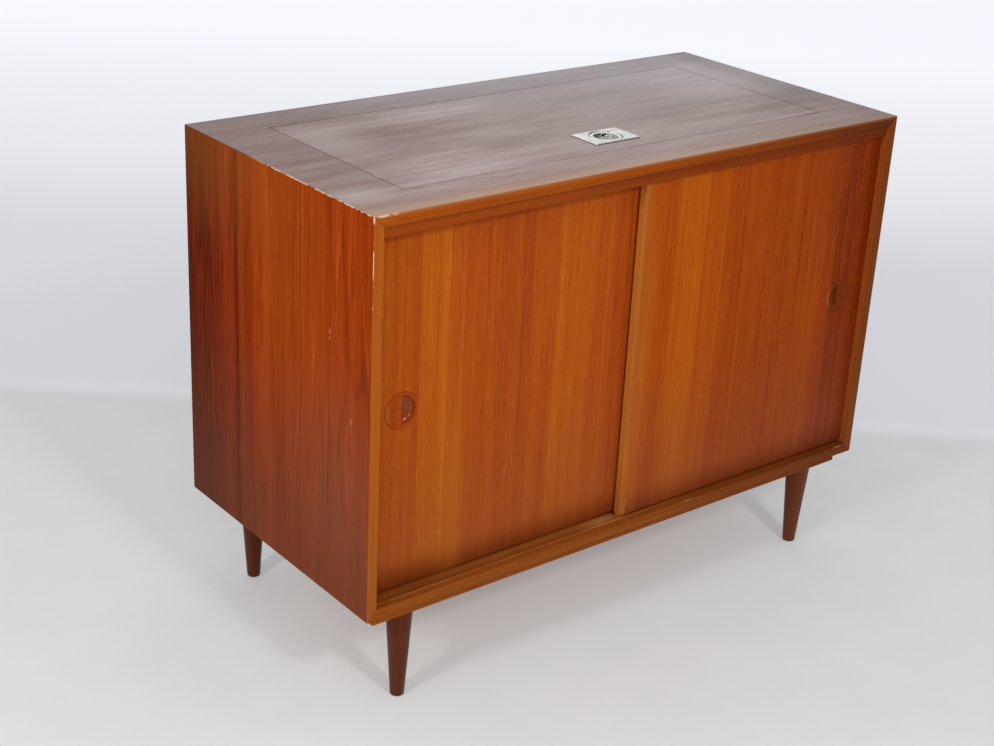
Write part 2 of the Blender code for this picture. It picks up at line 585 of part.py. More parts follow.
def build_flush_pull(lid, lid_axis, finishes):
    """Make the dished plate let into the lid, and the ring that turns in it."""
    here = Matrix.Translation(PLATE_CENTRE)
    low = PLATE_CENTRE - Vector((PLATE_W / 2, PLATE_D / 2, PLATE_T))
    high = PLATE_CENTRE + Vector((PLATE_W / 2, PLATE_D / 2, 0))
    bm = box(low, high)
    upright = [edge for edge in bm.edges if abs(edge.verts[0].co.z - edge.verts[1].co.z) > PLATE_T / 2]
    bevel_edges(bm, upright, PLATE_CORNER_R)
    bevel_edges(bm, edges_where(bm, lambda co: co.z > PLATE_Z - FIT / 2), PLATE_EDGE)
    plate = add_object("flush_pull_plate", bm, finishes["nickel"], lid_axis)
    cup = [(0, -PLATE_T / 2), (CUP_R, -PLATE_T / 2), (CUP_R, CUP_Z), (0, CUP_Z)]
    combine(plate, turned(cup, here), "UNION")
    pin_at = PLATE_CENTRE + Vector((0, RING_PIVOT, RING_Z))
    pin_end = math.sqrt((CUP_R + POCKET_ROOM / 2) ** 2 - (RING_PIVOT + RING_PIN_R) ** 2)
    pin_reach = Vector((pin_end, 0, 0))
    bore_reach = Vector((POCKET_R, 0, 0))
    combine(plate, rod(RING_PIN_R + FIT, pin_at - bore_reach, pin_at + bore_reach))
    combine(plate, turned(dish_profile(PLATE_T), here))
    dip_r = DISH_R - FIT
    dip = turned([(0, PLATE_T), (dip_r, PLATE_T), (dip_r, -DIP_DEPTH), (0, -DIP_DEPTH)], here)
    keep_side(dip, PLATE_CENTRE + Vector((0, RING_PIVOT - RING_T, 0)), (0, 1, 0))
    combine(plate, dip)
    pocket = [(0, 0), (POCKET_R, 0), (POCKET_R, CUP_Z - FIT), (0, CUP_Z - FIT)]
    combine(lid, turned(pocket, here))
    ring_axis = joint_empty("ring_hinge", pin_at)
    ring = add_object("pull_ring", turned(ring_profile(), here), finishes["nickel"], ring_axis)
    combine(ring, rod(RING_PIN_R, pin_at - pin_reach, pin_at + pin_reach), "UNION")


def main():
    """Build the cabinet."""
    clear_scene()
    finishes = make_finishes()
    case = build_case(finishes)
    build_tracks(finishes)
    build_legs(finishes)
    build_well(finishes)
    build_shelving(case, finishes)
    build_door("left", -1, REAR_DOOR_Y, finishes)
    build_door("right", 1, FRONT_DOOR_Y, finishes)
    lid, lid_axis = build_lid(case, finishes)
    build_flush_pull(lid, lid_axis, finishes)


main()
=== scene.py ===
"""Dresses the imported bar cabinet: oiled teak, faded top, nickel ring pull, studio and camera.

Every piece stands in the CAD frame, in metres, with +Z up and the doors facing -Y. Boards keep
their CAD solids and get procedural veneers. Turned and pressed pieces are modelled again, finer.
"""

from __future__ import annotations

import logging
import math
from collections.abc import Callable
from dataclasses import dataclass
from enum import Enum
from typing import Protocol

import bmesh
import bpy
from mathutils import Euler, Matrix, Vector


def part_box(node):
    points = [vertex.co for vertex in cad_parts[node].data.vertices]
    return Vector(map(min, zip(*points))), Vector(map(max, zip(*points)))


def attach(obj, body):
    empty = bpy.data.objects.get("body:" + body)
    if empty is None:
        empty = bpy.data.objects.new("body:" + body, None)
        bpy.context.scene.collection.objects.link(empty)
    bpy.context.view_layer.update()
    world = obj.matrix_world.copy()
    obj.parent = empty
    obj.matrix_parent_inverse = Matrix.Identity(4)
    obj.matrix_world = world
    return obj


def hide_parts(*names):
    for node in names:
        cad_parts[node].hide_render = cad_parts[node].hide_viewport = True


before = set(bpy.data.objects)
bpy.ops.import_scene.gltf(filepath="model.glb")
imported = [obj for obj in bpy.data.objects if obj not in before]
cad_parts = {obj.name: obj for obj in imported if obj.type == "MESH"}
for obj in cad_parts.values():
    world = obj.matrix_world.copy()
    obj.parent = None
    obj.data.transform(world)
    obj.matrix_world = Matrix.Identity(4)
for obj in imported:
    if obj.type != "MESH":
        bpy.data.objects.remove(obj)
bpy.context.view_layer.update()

LOG = logging.getLogger("bar_cabinet")

Point = tuple[float, float, float]
Colour = tuple[float, float, float, float]
Profile = list[tuple[float, float]]
Tree = bpy.types.NodeTree
Node = bpy.types.Node
Socket = bpy.types.NodeSocket
Material = bpy.types.Material
Shape = bmesh.types.BMesh

MM = 0.001
LEFTWARDS, RIGHTWARDS = (-1.0, 0.0, 0.0), (1.0, 0.0, 0.0)
FORWARDS, BACKWARDS = (0.0, -1.0, 0.0), (0.0, 1.0, 0.0)
DOWN, UP = (0.0, 0.0, -1.0), (0.0, 0.0, 1.0)
ROWS = ("front", "rear")

# Meshes: vertices this close are one, or lie on a cutting plane; a face looks along a way past this cosine.
MERGE, ON_PLANE, FACING = 1e-6, 1e-7, 0.9
TURN_STEPS, ROD_STEPS = 96, 32

# A Mix node's sockets share their names, so they go by number.
FACTOR, FLOAT_A, FLOAT_B, COLOUR_A, COLOUR_B, COLOUR_OUT = 0, 2, 3, 6, 7, 2

# Wood: the tone runs from its darkest to its lightest shade, and each noise has a mean that changes nothing.
MIDDLE, RING_MEAN, PORE_MEAN = 0.5, 0.2, 0.1
TONE_LOW, TONE_HIGH = 0.1, 0.9
NOISE_ROUGHNESS = 0.6
NOISE_SHIFT = (1.0, 1.7, 0.6)
DRIFT_MM, DRIFT_DETAIL = (90, 420), 2.0
RING_DETAIL = 1.0
# Open pores are about 0.3 mm by 5 mm; they are drawn three times as coarse, to show.
PORE_MM, PORE_DETAIL, PORE_EDGE = (1.0, 15.0), 1.0, (0.56, 0.70)
# Dark pores are duller than the smooth wood between them, and lie a little deeper.
PORE_DULL, WOOD_GLOSS = 0.08, 0.06
WOOD_RELIEF, WOOD_RELIEF_DEPTH = 0.2, 0.0003
DUST_TINT, DUST_ROUGHNESS = "#f0eff2", 0.4

# Knocks on an edge: how far apart they stand, their single bites, their soft rim and how a run of them ends.
KNOCK_GAP_MM, KNOCK_DETAIL, KNOCK_EDGE, KNOCK_SPREAD = 60, 1.0, (0.60, 0.72), 0.3
BITE_MM, BITE_DETAIL, BITE_ROUGHNESS, BITE_RIM_MM = 4, 3.0, 0.7, (-0.1, 0.3)
RUN_START, RUN_FADE, RUN_FADE_SHARE = 0.005, 0.06, 1 / 3

# Metal: brushing, and marks of handling that are duller and rougher.
BRUSH_DETAIL, BRUSH_SPREAD = 3.0, 0.14
HANDLING_MM, HANDLING_DETAIL, HANDLING_ROUGHNESS = 14, 4.0, 0.65
HANDLING_EDGE, HANDLING_DULL = (0.45, 0.75), 0.18
METAL_RELIEF, METAL_RELIEF_DEPTH = 0.01, 0.0002


class Axis(Enum):
    """An axis of the frame, by its number."""

    X = 0
    Y = 1
    Z = 2

    def spread(self, along: float, across: float) -> Point:
        """Make a triple with one value along the axis and another across it.

        Args:
            along: The value on the axis itself.
            across: The value on the two other axes.

        Returns:
            The values for X, Y and Z.
        """
        x, y, z = (along if axis is self else across for axis in Axis)
        return x, y, z


class Hand(Enum):
    """The left or the right one of a pair, seen from the front."""

    LEFT = "left"
    RIGHT = "right"

    @property
    def inward(self) -> Point:
        """Return the way to the middle of the case."""
        return RIGHTWARDS if self is Hand.LEFT else LEFTWARDS


class Rise(Enum):
    """How a tint thickens between its start and its end."""

    STEADY = "LINEAR"
    SOFT = "SMOOTHSTEP"


class Join(Enum):
    """What a Boolean does with its tool."""

    CUT = "DIFFERENCE"
    WELD = "UNION"


def linear(hex_colour: str) -> Colour:
    """Turn an sRGB hex colour into linear light.

    Args:
        hex_colour: Six hex digits after a hash sign.

    Returns:
        Red, green, blue and an alpha of 1.
    """
    parts = [int(hex_colour[i:i + 2], 16) / 255 for i in (1, 3, 5)]
    red, green, blue = [c / 12.92 if c <= 0.04045 else ((c + 0.055) / 1.055) ** 2.4 for c in parts]
    return red, green, blue, 1.0


def grey(level: float) -> Colour:
    """Return a grey of a linear level."""
    return level, level, level, 1.0


def feed(tree: Tree, node: Node, inputs: dict[int | str, object]) -> None:
    """Set or link the inputs of a node.

    Args:
        tree: The node's tree.
        node: The node.
        inputs: Socket name or number to a value, or to the socket or node that feeds it.
    """
    for key, value in inputs.items():
        source = value.outputs[0] if isinstance(value, Node) else value
        if isinstance(source, Socket):
            tree.links.new(source, node.inputs[key])
        else:
            node.inputs[key].default_value = source


def add_node(tree: Tree, kind: str, inputs: dict[int | str, object] | None = None,
             **settings: object) -> Node:
    """Add one node with its settings and links.

    Args:
        tree: The node tree that gets the node.
        kind: The node's type name.
        inputs: What each input is set to or fed by.
        **settings: Attributes of the node.

    Returns:
        The new node.
    """
    made = tree.nodes.new(kind)
    for key, value in settings.items():
        setattr(made, key, value)
    feed(tree, made, inputs or {})
    return made


def set_stops(ramp: Node, stops: list[tuple[float, Colour]]) -> None:
    """Give a colour ramp its stops.

    Args:
        ramp: The ramp node.
        stops: Pairs of place and linear colour, in rising order.
    """
    elements = ramp.color_ramp.elements
    while len(elements) < len(stops):
        elements.new(1.0)
    for element, (place, colour) in zip(elements, stops):
        element.position = place
        element.color = colour


def new_material(name: str) -> tuple[Material, Tree, Node]:
    """Start a material.

    Args:
        name: The material's name.

    Returns:
        The material, its node tree and its shader.
    """
    material = bpy.data.materials.new(name)
    material.use_nodes = True
    return material, material.node_tree, material.node_tree.nodes["Principled BSDF"]


class Mark(Protocol):
    """Colour laid over part of a surface: real marks, and also painted shade and painted light."""

    tint: str

    def mask(self, tree: Tree, coords: Socket) -> Node:
        """Draw where the mark shows.

        Args:
            tree: The material's node tree.
            coords: Object coordinates.

        Returns:
            A node that gives 0 off the mark and up to 1 on it.
        """


def cover(tree: Tree, coords: Socket, colour: Socket, marks: tuple[Mark, ...]) -> Socket:
    """Lay marks over a colour, the first one lowest.

    Args:
        tree: The material's node tree.
        coords: Object coordinates.
        colour: The bare surface's colour.
        marks: What lies on it.

    Returns:
        The marked colour.
    """
    for mark in marks:
        inputs = {FACTOR: mark.mask(tree, coords), COLOUR_A: colour, COLOUR_B: linear(mark.tint)}
        colour = add_node(tree, "ShaderNodeMix", inputs, data_type="RGBA").outputs[COLOUR_OUT]
    return colour


@dataclass(frozen=True)
class TintGradient:
    """A tint that thickens along one direction, from a start to an end in metres: dull or bleached films, and
    also painted shade and painted light.
    """

    way: Point
    start: float
    end: float
    tint: str
    amount: float
    rise: Rise = Rise.SOFT

    def mask(self, tree: Tree, coords: Socket) -> Node:
        """Draw how thick the tint is.

        Args:
            tree: The material's node tree.
            coords: Object coordinates.

        Returns:
            A node that gives 0 up to the start and the tint's amount from the end on.
        """
        along = add_node(tree, "ShaderNodeVectorMath", {0: coords, 1: self.way}, operation="DOT_PRODUCT")
        return add_node(tree, "ShaderNodeMapRange",
                        {"Value": along.outputs["Value"], "From Min": self.start, "From Max": self.end,
                         "To Min": 0.0, "To Max": self.amount}, interpolation_type=self.rise.value)


@dataclass(frozen=True)
class Patch:
    """A paler, darker or warmer patch, strongest at its centre and gone at its reach, in metres."""

    centre: Point
    reach: Point
    tint: str
    amount: float

    def mask(self, tree: Tree, coords: Socket) -> Node:
        """Draw how strong the patch is.

        Args:
            tree: The material's node tree.
            coords: Object coordinates.

        Returns:
            A node that gives the patch's amount at its centre and 0 past its reach.
        """
        off = add_node(tree, "ShaderNodeVectorMath", {0: coords, 1: self.centre}, operation="SUBTRACT")
        out = add_node(tree, "ShaderNodeVectorMath", {0: off, 1: self.reach}, operation="DIVIDE")
        away = add_node(tree, "ShaderNodeVectorMath", {0: out}, operation="LENGTH")
        return add_node(tree, "ShaderNodeMapRange",
                        {"Value": away.outputs["Value"], "To Min": self.amount, "To Max": 0.0},
                        interpolation_type="SMOOTHSTEP")


@dataclass(frozen=True)
class EdgeShade:
    """A dark line painted round a plate let into the wood: painted shade at the plate's edge."""

    centre: Point
    half_size: Point
    reach_mm: float
    tint: str
    amount: float

    def mask(self, tree: Tree, coords: Socket) -> Node:
        """Draw how strong the painted shade is.

        Args:
            tree: The material's node tree.
            coords: Object coordinates.

        Returns:
            A node that gives the shade's amount at the plate's edge and 0 past its reach.
        """
        off = add_node(tree, "ShaderNodeVectorMath", {0: coords, 1: self.centre}, operation="SUBTRACT")
        side = add_node(tree, "ShaderNodeVectorMath", {0: off}, operation="ABSOLUTE")
        past = add_node(tree, "ShaderNodeVectorMath", {0: side, 1: self.half_size}, operation="SUBTRACT")
        ways = add_node(tree, "ShaderNodeSeparateXYZ", {0: past})
        far = add_node(tree, "ShaderNodeMath", {0: ways.outputs["X"], 1: ways.outputs["Y"]},
                       operation="MAXIMUM")
        return add_node(tree, "ShaderNodeMapRange", {"Value": far, "From Max": self.reach_mm * MM,
                                                     "To Min": self.amount, "To Max": 0.0})


@dataclass(frozen=True)
class Chips:
    """Knocks along one straight edge of a board, where paler wood shows."""

    point: Point
    along: Axis
    run: tuple[float, float]
    reach_mm: float
    share: float
    length_mm: float
    tint: str = "#e6c09a"

    def mask(self, tree: Tree, coords: Socket) -> Node:
        """Draw where the edge is chipped.

        Args:
            tree: The material's node tree.
            coords: Object coordinates.

        Returns:
            A node that gives 1 in a chip and 0 on sound wood.
        """
        bitten = self.bites(tree, coords)
        at = add_node(tree, "ShaderNodeSeparateXYZ", {0: coords}).outputs[self.along.value]
        low, high = self.run
        fade = min(RUN_FADE, (high - low) * RUN_FADE_SHARE)
        rise = add_node(tree, "ShaderNodeMapRange", {"Value": at, "From Min": low,
                                                     "From Max": low + RUN_START})
        fall = add_node(tree, "ShaderNodeMapRange", {"Value": at, "From Min": high - fade, "From Max": high,
                                                     "To Min": 1.0, "To Max": 0.0})
        inside = add_node(tree, "ShaderNodeMath", {0: rise, 1: fall}, operation="MULTIPLY")
        return add_node(tree, "ShaderNodeMath", {0: bitten, 1: inside}, operation="MULTIPLY")

    def bites(self, tree: Tree, coords: Socket) -> Node:
        """Draw ragged bites along the whole line of the edge.

        Args:
            tree: The material's node tree.
            coords: Object coordinates.

        Returns:
            A node that gives 1 in a bite and 0 on sound wood.
        """
        keep = self.along.spread(0.0, 1.0)
        to_line = [-at * kept for at, kept in zip(self.point, keep)]
        off = add_node(tree, "ShaderNodeVectorMath", {0: coords, 1: keep, 2: to_line},
                       operation="MULTIPLY_ADD")
        away = add_node(tree, "ShaderNodeVectorMath", {0: off}, operation="LENGTH").outputs["Value"]
        size = self.along.spread(1 / (self.length_mm * MM), 1 / (KNOCK_GAP_MM * MM))
        place = add_node(tree, "ShaderNodeMapping", {"Vector": coords, "Scale": size})
        dash = add_node(tree, "ShaderNodeTexNoise", {"Vector": place, "Scale": 1.0, "Detail": KNOCK_DETAIL})
        bite = add_node(tree, "ShaderNodeTexNoise", {"Vector": coords, "Scale": 1 / (BITE_MM * MM),
                                                     "Detail": BITE_DETAIL, "Roughness": BITE_ROUGHNESS})
        more = KNOCK_SPREAD * self.share
        gone = add_node(tree, "ShaderNodeMapRange", {"Value": dash, "From Min": KNOCK_EDGE[0] - more,
                                                     "From Max": KNOCK_EDGE[1] - more})
        depth = add_node(tree, "ShaderNodeMath", {0: gone, 1: bite}, operation="MULTIPLY")
        reach = add_node(tree, "ShaderNodeMath", {0: depth, 1: self.reach_mm * MM / MIDDLE},
                         operation="MULTIPLY")
        spare = add_node(tree, "ShaderNodeMath", {0: reach, 1: away}, operation="SUBTRACT")
        return add_node(tree, "ShaderNodeMapRange", {"Value": spare, "From Min": BITE_RIM_MM[0] * MM,
                                                     "From Max": BITE_RIM_MM[1] * MM})


@dataclass(frozen=True)
class Figure:
    """One layer of a wood's figure: streaks of a width and a length, in millimetres."""

    across_mm: float
    along_mm: float
    weight: float
    detail: float = 2.0


@dataclass(frozen=True)
class Rings:
    """Growth rings cut at a slant, which draw long lines: dark, or pale with a weight below 0."""

    across_mm: float
    along_mm: float
    count: float
    weight: float
    edge: float


@dataclass(frozen=True)
class Leaf:
    """One leaf of veneer: its width, its tone at both edges and the line where it ends."""

    width_mm: float
    tone: float
    end_tone: float
    seam: float = 0.0


@dataclass(frozen=True)
class Layup:
    """Leaves of veneer laid side by side across a board, from one edge to the other."""

    axis: Axis
    start: float
    leaves: tuple[Leaf, ...]
    blend_mm: float = 2.0

    def stops(self) -> list[tuple[float, float]]:
        """Work out the tone across the board.

        Returns:
            Points of millimetres from the start and tone.
        """
        points, at = [], 0.0
        for leaf in self.leaves:
            end = at + leaf.width_mm
            points += [(at + self.blend_mm, leaf.tone), (end - self.blend_mm, leaf.end_tone)]
            if leaf.seam:
                points.append((end, leaf.end_tone + leaf.seam))
            at = end
        return points

    def draw(self, tree: Tree, fibres: Node) -> Node:
        """Draw the tone across the board.

        Args:
            tree: The material's node tree.
            fibres: Coordinates that follow the fibres.

        Returns:
            A ramp that gives the middle tone where a leaf's own tone is 0.
        """
        split = add_node(tree, "ShaderNodeSeparateXYZ", {0: fibres})
        width = sum(leaf.width_mm for leaf in self.leaves)
        part = add_node(tree, "ShaderNodeMapRange",
                        {"Value": split.outputs[self.axis.value], "From Min": self.start,
                         "From Max": self.start + width * MM})
        ramp = add_node(tree, "ShaderNodeValToRGB", {"Fac": part})
        set_stops(ramp, [(place / width, grey(MIDDLE + tone)) for place, tone in self.stops()])
        return ramp


@dataclass(frozen=True)
class Wood:
    """Wood, sliced to veneer or solid, oiled: straight streaks, dark pores and a satin skin."""

    name: str
    grain: Axis
    shades: tuple[str, ...]
    figures: tuple[Figure, ...]
    marks: tuple[Mark, ...] = ()
    seed: float = 0.0
    rings: tuple[Rings, ...] = ()
    layup: Layup | None = None
    wander_mm: float = 3.0
    pore_weight: float = 0.11
    roughness: float = 0.42
    specular: float = 0.2
    gloss_tint: str = "#ff9d5c"
    film: float = 0.0

    def noise(self, tree: Tree, coords: Node | Socket, across_mm: float, along_mm: float,
              detail: float) -> Node:
        """Draw a noise that is stretched along the grain.

        Args:
            tree: The material's node tree.
            coords: Where the noise is read.
            across_mm: Its size across the grain.
            along_mm: Its size along the grain.
            detail: How much finer noise lies on it.

        Returns:
            The noise, from 0 to 1.
        """
        shift = self.seed + across_mm
        scale = self.grain.spread(1 / (along_mm * MM), 1 / (across_mm * MM))
        place = add_node(tree, "ShaderNodeMapping", {"Vector": coords, "Scale": scale,
                                                     "Location": [shift * part for part in NOISE_SHIFT]})
        return add_node(tree, "ShaderNodeTexNoise", {"Vector": place, "Scale": 1.0, "Detail": detail,
                                                     "Roughness": NOISE_ROUGHNESS})

    def wander(self, tree: Tree, coords: Socket) -> Node:
        """Let the fibres wander sideways along their length.

        Args:
            tree: The material's node tree.
            coords: Object coordinates.

        Returns:
            A node that gives the wandering coordinates.
        """
        drift = self.noise(tree, coords, *DRIFT_MM, DRIFT_DETAIL)
        reach = self.grain.spread(0.0, self.wander_mm * MM / MIDDLE)
        sideways = add_node(tree, "ShaderNodeVectorMath",
                            {0: drift.outputs["Color"], 1: (MIDDLE, MIDDLE, MIDDLE)}, operation="SUBTRACT")
        return add_node(tree, "ShaderNodeVectorMath", {0: sideways, 1: reach, 2: coords},
                        operation="MULTIPLY_ADD")

    def growth_lines(self, tree: Tree, fibres: Node, rings: Rings) -> Node:
        """Draw the lines where growth rings come to the surface.

        Args:
            tree: The material's node tree.
            fibres: Coordinates that follow the fibres.
            rings: The rings.

        Returns:
            A node that gives 1 on a line and 0 between the lines.
        """
        growth = self.noise(tree, fibres, rings.across_mm, rings.along_mm, RING_DETAIL)
        turn = add_node(tree, "ShaderNodeMath", {0: growth, 1: math.tau * rings.count}, operation="MULTIPLY")
        wave = add_node(tree, "ShaderNodeMath", {0: turn}, operation="SINE")
        return add_node(tree, "ShaderNodeMapRange", {"Value": wave, "From Min": rings.edge, "From Max": 1.0})

    def layers(self, tree: Tree, fibres: Node) -> list[tuple[Node, float, float]]:
        """Draw every layer of the wood's tone.

        Args:
            tree: The material's node tree.
            fibres: Coordinates that follow the fibres.

        Returns:
            A node, its weight and its mean for each layer.
        """
        found = [(self.noise(tree, fibres, part.across_mm, part.along_mm, part.detail), part.weight, MIDDLE)
                 for part in self.figures]
        found += [(self.growth_lines(tree, fibres, rings), -rings.weight, RING_MEAN) for rings in self.rings]
        if self.layup:
            found.append((self.layup.draw(tree, fibres), 1.0, MIDDLE))
        pore = self.noise(tree, fibres, *PORE_MM, PORE_DETAIL)
        pores = add_node(tree, "ShaderNodeMapRange", {"Value": pore, "From Min": PORE_EDGE[0],
                                                      "From Max": PORE_EDGE[1]})
        found.append((pores, -self.pore_weight, PORE_MEAN))
        return found

    def shade(self, tree: Tree, tone: Node) -> Socket:
        """Colour a tone, from the darkest shade to the lightest.

        Args:
            tree: The material's node tree.
            tone: The wood's tone.

        Returns:
            The bare wood's colour.
        """
        ramp = add_node(tree, "ShaderNodeValToRGB", {"Fac": tone})
        step = (TONE_HIGH - TONE_LOW) / (len(self.shades) - 1)
        set_stops(ramp, [(TONE_LOW + step * i, linear(shade)) for i, shade in enumerate(self.shades)])
        return ramp.outputs["Color"]

    def build(self) -> Material:
        """Make the Blender material.

        Returns:
            The finished wood.
        """
        material, tree, shader = new_material(self.name)
        coords = add_node(tree, "ShaderNodeTexCoord").outputs["Object"]
        layers = self.layers(tree, self.wander(tree, coords))
        tone: Node | float = MIDDLE - sum(weight * mean for _, weight, mean in layers)
        for layer, weight, _ in layers:
            tone = add_node(tree, "ShaderNodeMath", {0: layer, 1: weight, 2: tone}, operation="MULTIPLY_ADD")
        rough = add_node(tree, "ShaderNodeMapRange",
                         {"Value": tone, "From Min": TONE_LOW, "From Max": TONE_HIGH,
                          "To Min": self.roughness + PORE_DULL, "To Max": self.roughness - WOOD_GLOSS})
        bump = add_node(tree, "ShaderNodeBump", {"Height": tone, "Strength": WOOD_RELIEF,
                                                 "Distance": WOOD_RELIEF_DEPTH})
        feed(tree, shader, {
            "Base Color": cover(tree, coords, self.shade(tree, tone), self.marks), "Roughness": rough,
            "Normal": bump, "Specular IOR Level": self.specular, "Specular Tint": linear(self.gloss_tint),
            "Sheen Weight": self.film, "Sheen Roughness": DUST_ROUGHNESS, "Sheen Tint": linear(DUST_TINT)})
        return material


@dataclass(frozen=True)
class Metal:
    """Plated or bare metal: a metallic skin with fine brushing and dull handling marks."""

    name: str
    tint: str
    dull: str
    roughness: float
    marks: tuple[Mark, ...] = ()
    brush_mm: Point = (12.0, 2.0, 12.0)

    def build(self) -> Material:
        """Make the Blender material.

        Returns:
            The finished metal.
        """
        material, tree, shader = new_material(self.name)
        coords = add_node(tree, "ShaderNodeTexCoord").outputs["Object"]
        place = add_node(tree, "ShaderNodeMapping", {"Vector": coords,
                                                     "Scale": [1 / (size * MM) for size in self.brush_mm]})
        brush = add_node(tree, "ShaderNodeTexNoise", {"Vector": place, "Scale": 1.0, "Detail": BRUSH_DETAIL})
        handled = add_node(tree, "ShaderNodeTexNoise",
                           {"Vector": coords, "Scale": 1 / (HANDLING_MM * MM), "Detail": HANDLING_DETAIL,
                            "Roughness": HANDLING_ROUGHNESS})
        wear_and_shade = add_node(tree, "ShaderNodeMapRange", {"Value": handled, "From Min": HANDLING_EDGE[0],
                                                     "From Max": HANDLING_EDGE[1]})
        skin = add_node(tree, "ShaderNodeMix", {FACTOR: wear_and_shade, COLOUR_A: linear(self.tint),
                                                COLOUR_B: linear(self.dull)}, data_type="RGBA")
        brushed = add_node(tree, "ShaderNodeMath",
                           {0: brush, 1: BRUSH_SPREAD, 2: self.roughness - BRUSH_SPREAD / 2},
                           operation="MULTIPLY_ADD")
        rough = add_node(tree, "ShaderNodeMath", {0: wear_and_shade, 1: HANDLING_DULL, 2: brushed},
                         operation="MULTIPLY_ADD")
        bump = add_node(tree, "ShaderNodeBump", {"Height": brush, "Strength": METAL_RELIEF,
                                                 "Distance": METAL_RELIEF_DEPTH})
        feed(tree, shader, {"Metallic": 1.0, "Roughness": rough, "Normal": bump,
                            "Base Color": cover(tree, coords, skin.outputs[COLOUR_OUT], self.marks)})
        return material


# Figures of the cuts: quarter-sawn ribbons, broader flat-sawn streaks, the clouded top and solid edges.
RIBBON = (Figure(24, 2600, 0.28, 1.0), Figure(7, 900, 0.26), Figure(3.2, 300, 0.36), Figure(1.5, 32, 0.46))
FLAT_SAWN = (Figure(40, 1500, 0.34, 1.0), Figure(5, 900, 0.27), Figure(2.4, 260, 0.32), Figure(1.4, 45, 0.32))
FADED = (Figure(210, 480, 0.95), Figure(46, 420, 0.70), Figure(15, 190, 0.42), Figure(4, 70, 0.44),
         Figure(1.8, 22, 0.42))
SOLID = (Figure(22, 900, 0.40, 1.0), Figure(5, 260, 0.35), Figure(1.5, 50, 0.20))
# The doors are laid up from leaves of gold, red and brown teak, and darken towards the right, partly by their
# own tone and partly by painted shade.
LEFT_DOOR_LEAVES = (Leaf(84, -0.04, 0.02, 0.16), Leaf(46, 0.15, 0.11), Leaf(26, 0.01, 0.03, 0.14),
                    Leaf(90, -0.03, -0.07, -0.07), Leaf(78, -0.05, -0.02, 0.14), Leaf(60, 0.08, 0.08),
                    Leaf(33, 0.00, 0.00, 0.09), Leaf(78, -0.05, -0.14))
RIGHT_DOOR_LEAVES = (Leaf(50, 0.03, -0.07), Leaf(28, 0.06, 0.09, 0.10), Leaf(80, 0.13, 0.00, 0.12),
                     Leaf(90, -0.06, -0.14), Leaf(90, -0.15, -0.12, 0.15), Leaf(46, -0.08, -0.12),
                     Leaf(34, -0.20, -0.21, 0.05), Leaf(78, -0.26, -0.36))
# The side is one wide leaf with two dark growth lines, then a seam and a darker leaf at the back; its
# darkening towards the back edge is partly painted shade.
SIDE_LEAVES = (Leaf(100, 0.00, 0.02, -0.20), Leaf(72, 0.01, 0.03, -0.24), Leaf(90, 0.04, 0.03),
               Leaf(78, 0.00, -0.10, -0.34), Leaf(20, -0.34, -0.16), Leaf(125, -0.12, -0.36))
# A patch reaches this far through a board, so that it has no end in the board's thickness.
THROUGH, THROUGH_SIDE = 0.5, 0.2
# Painted shade towards the foot reaches its full strength here, just under the case.
FOOT = -0.16


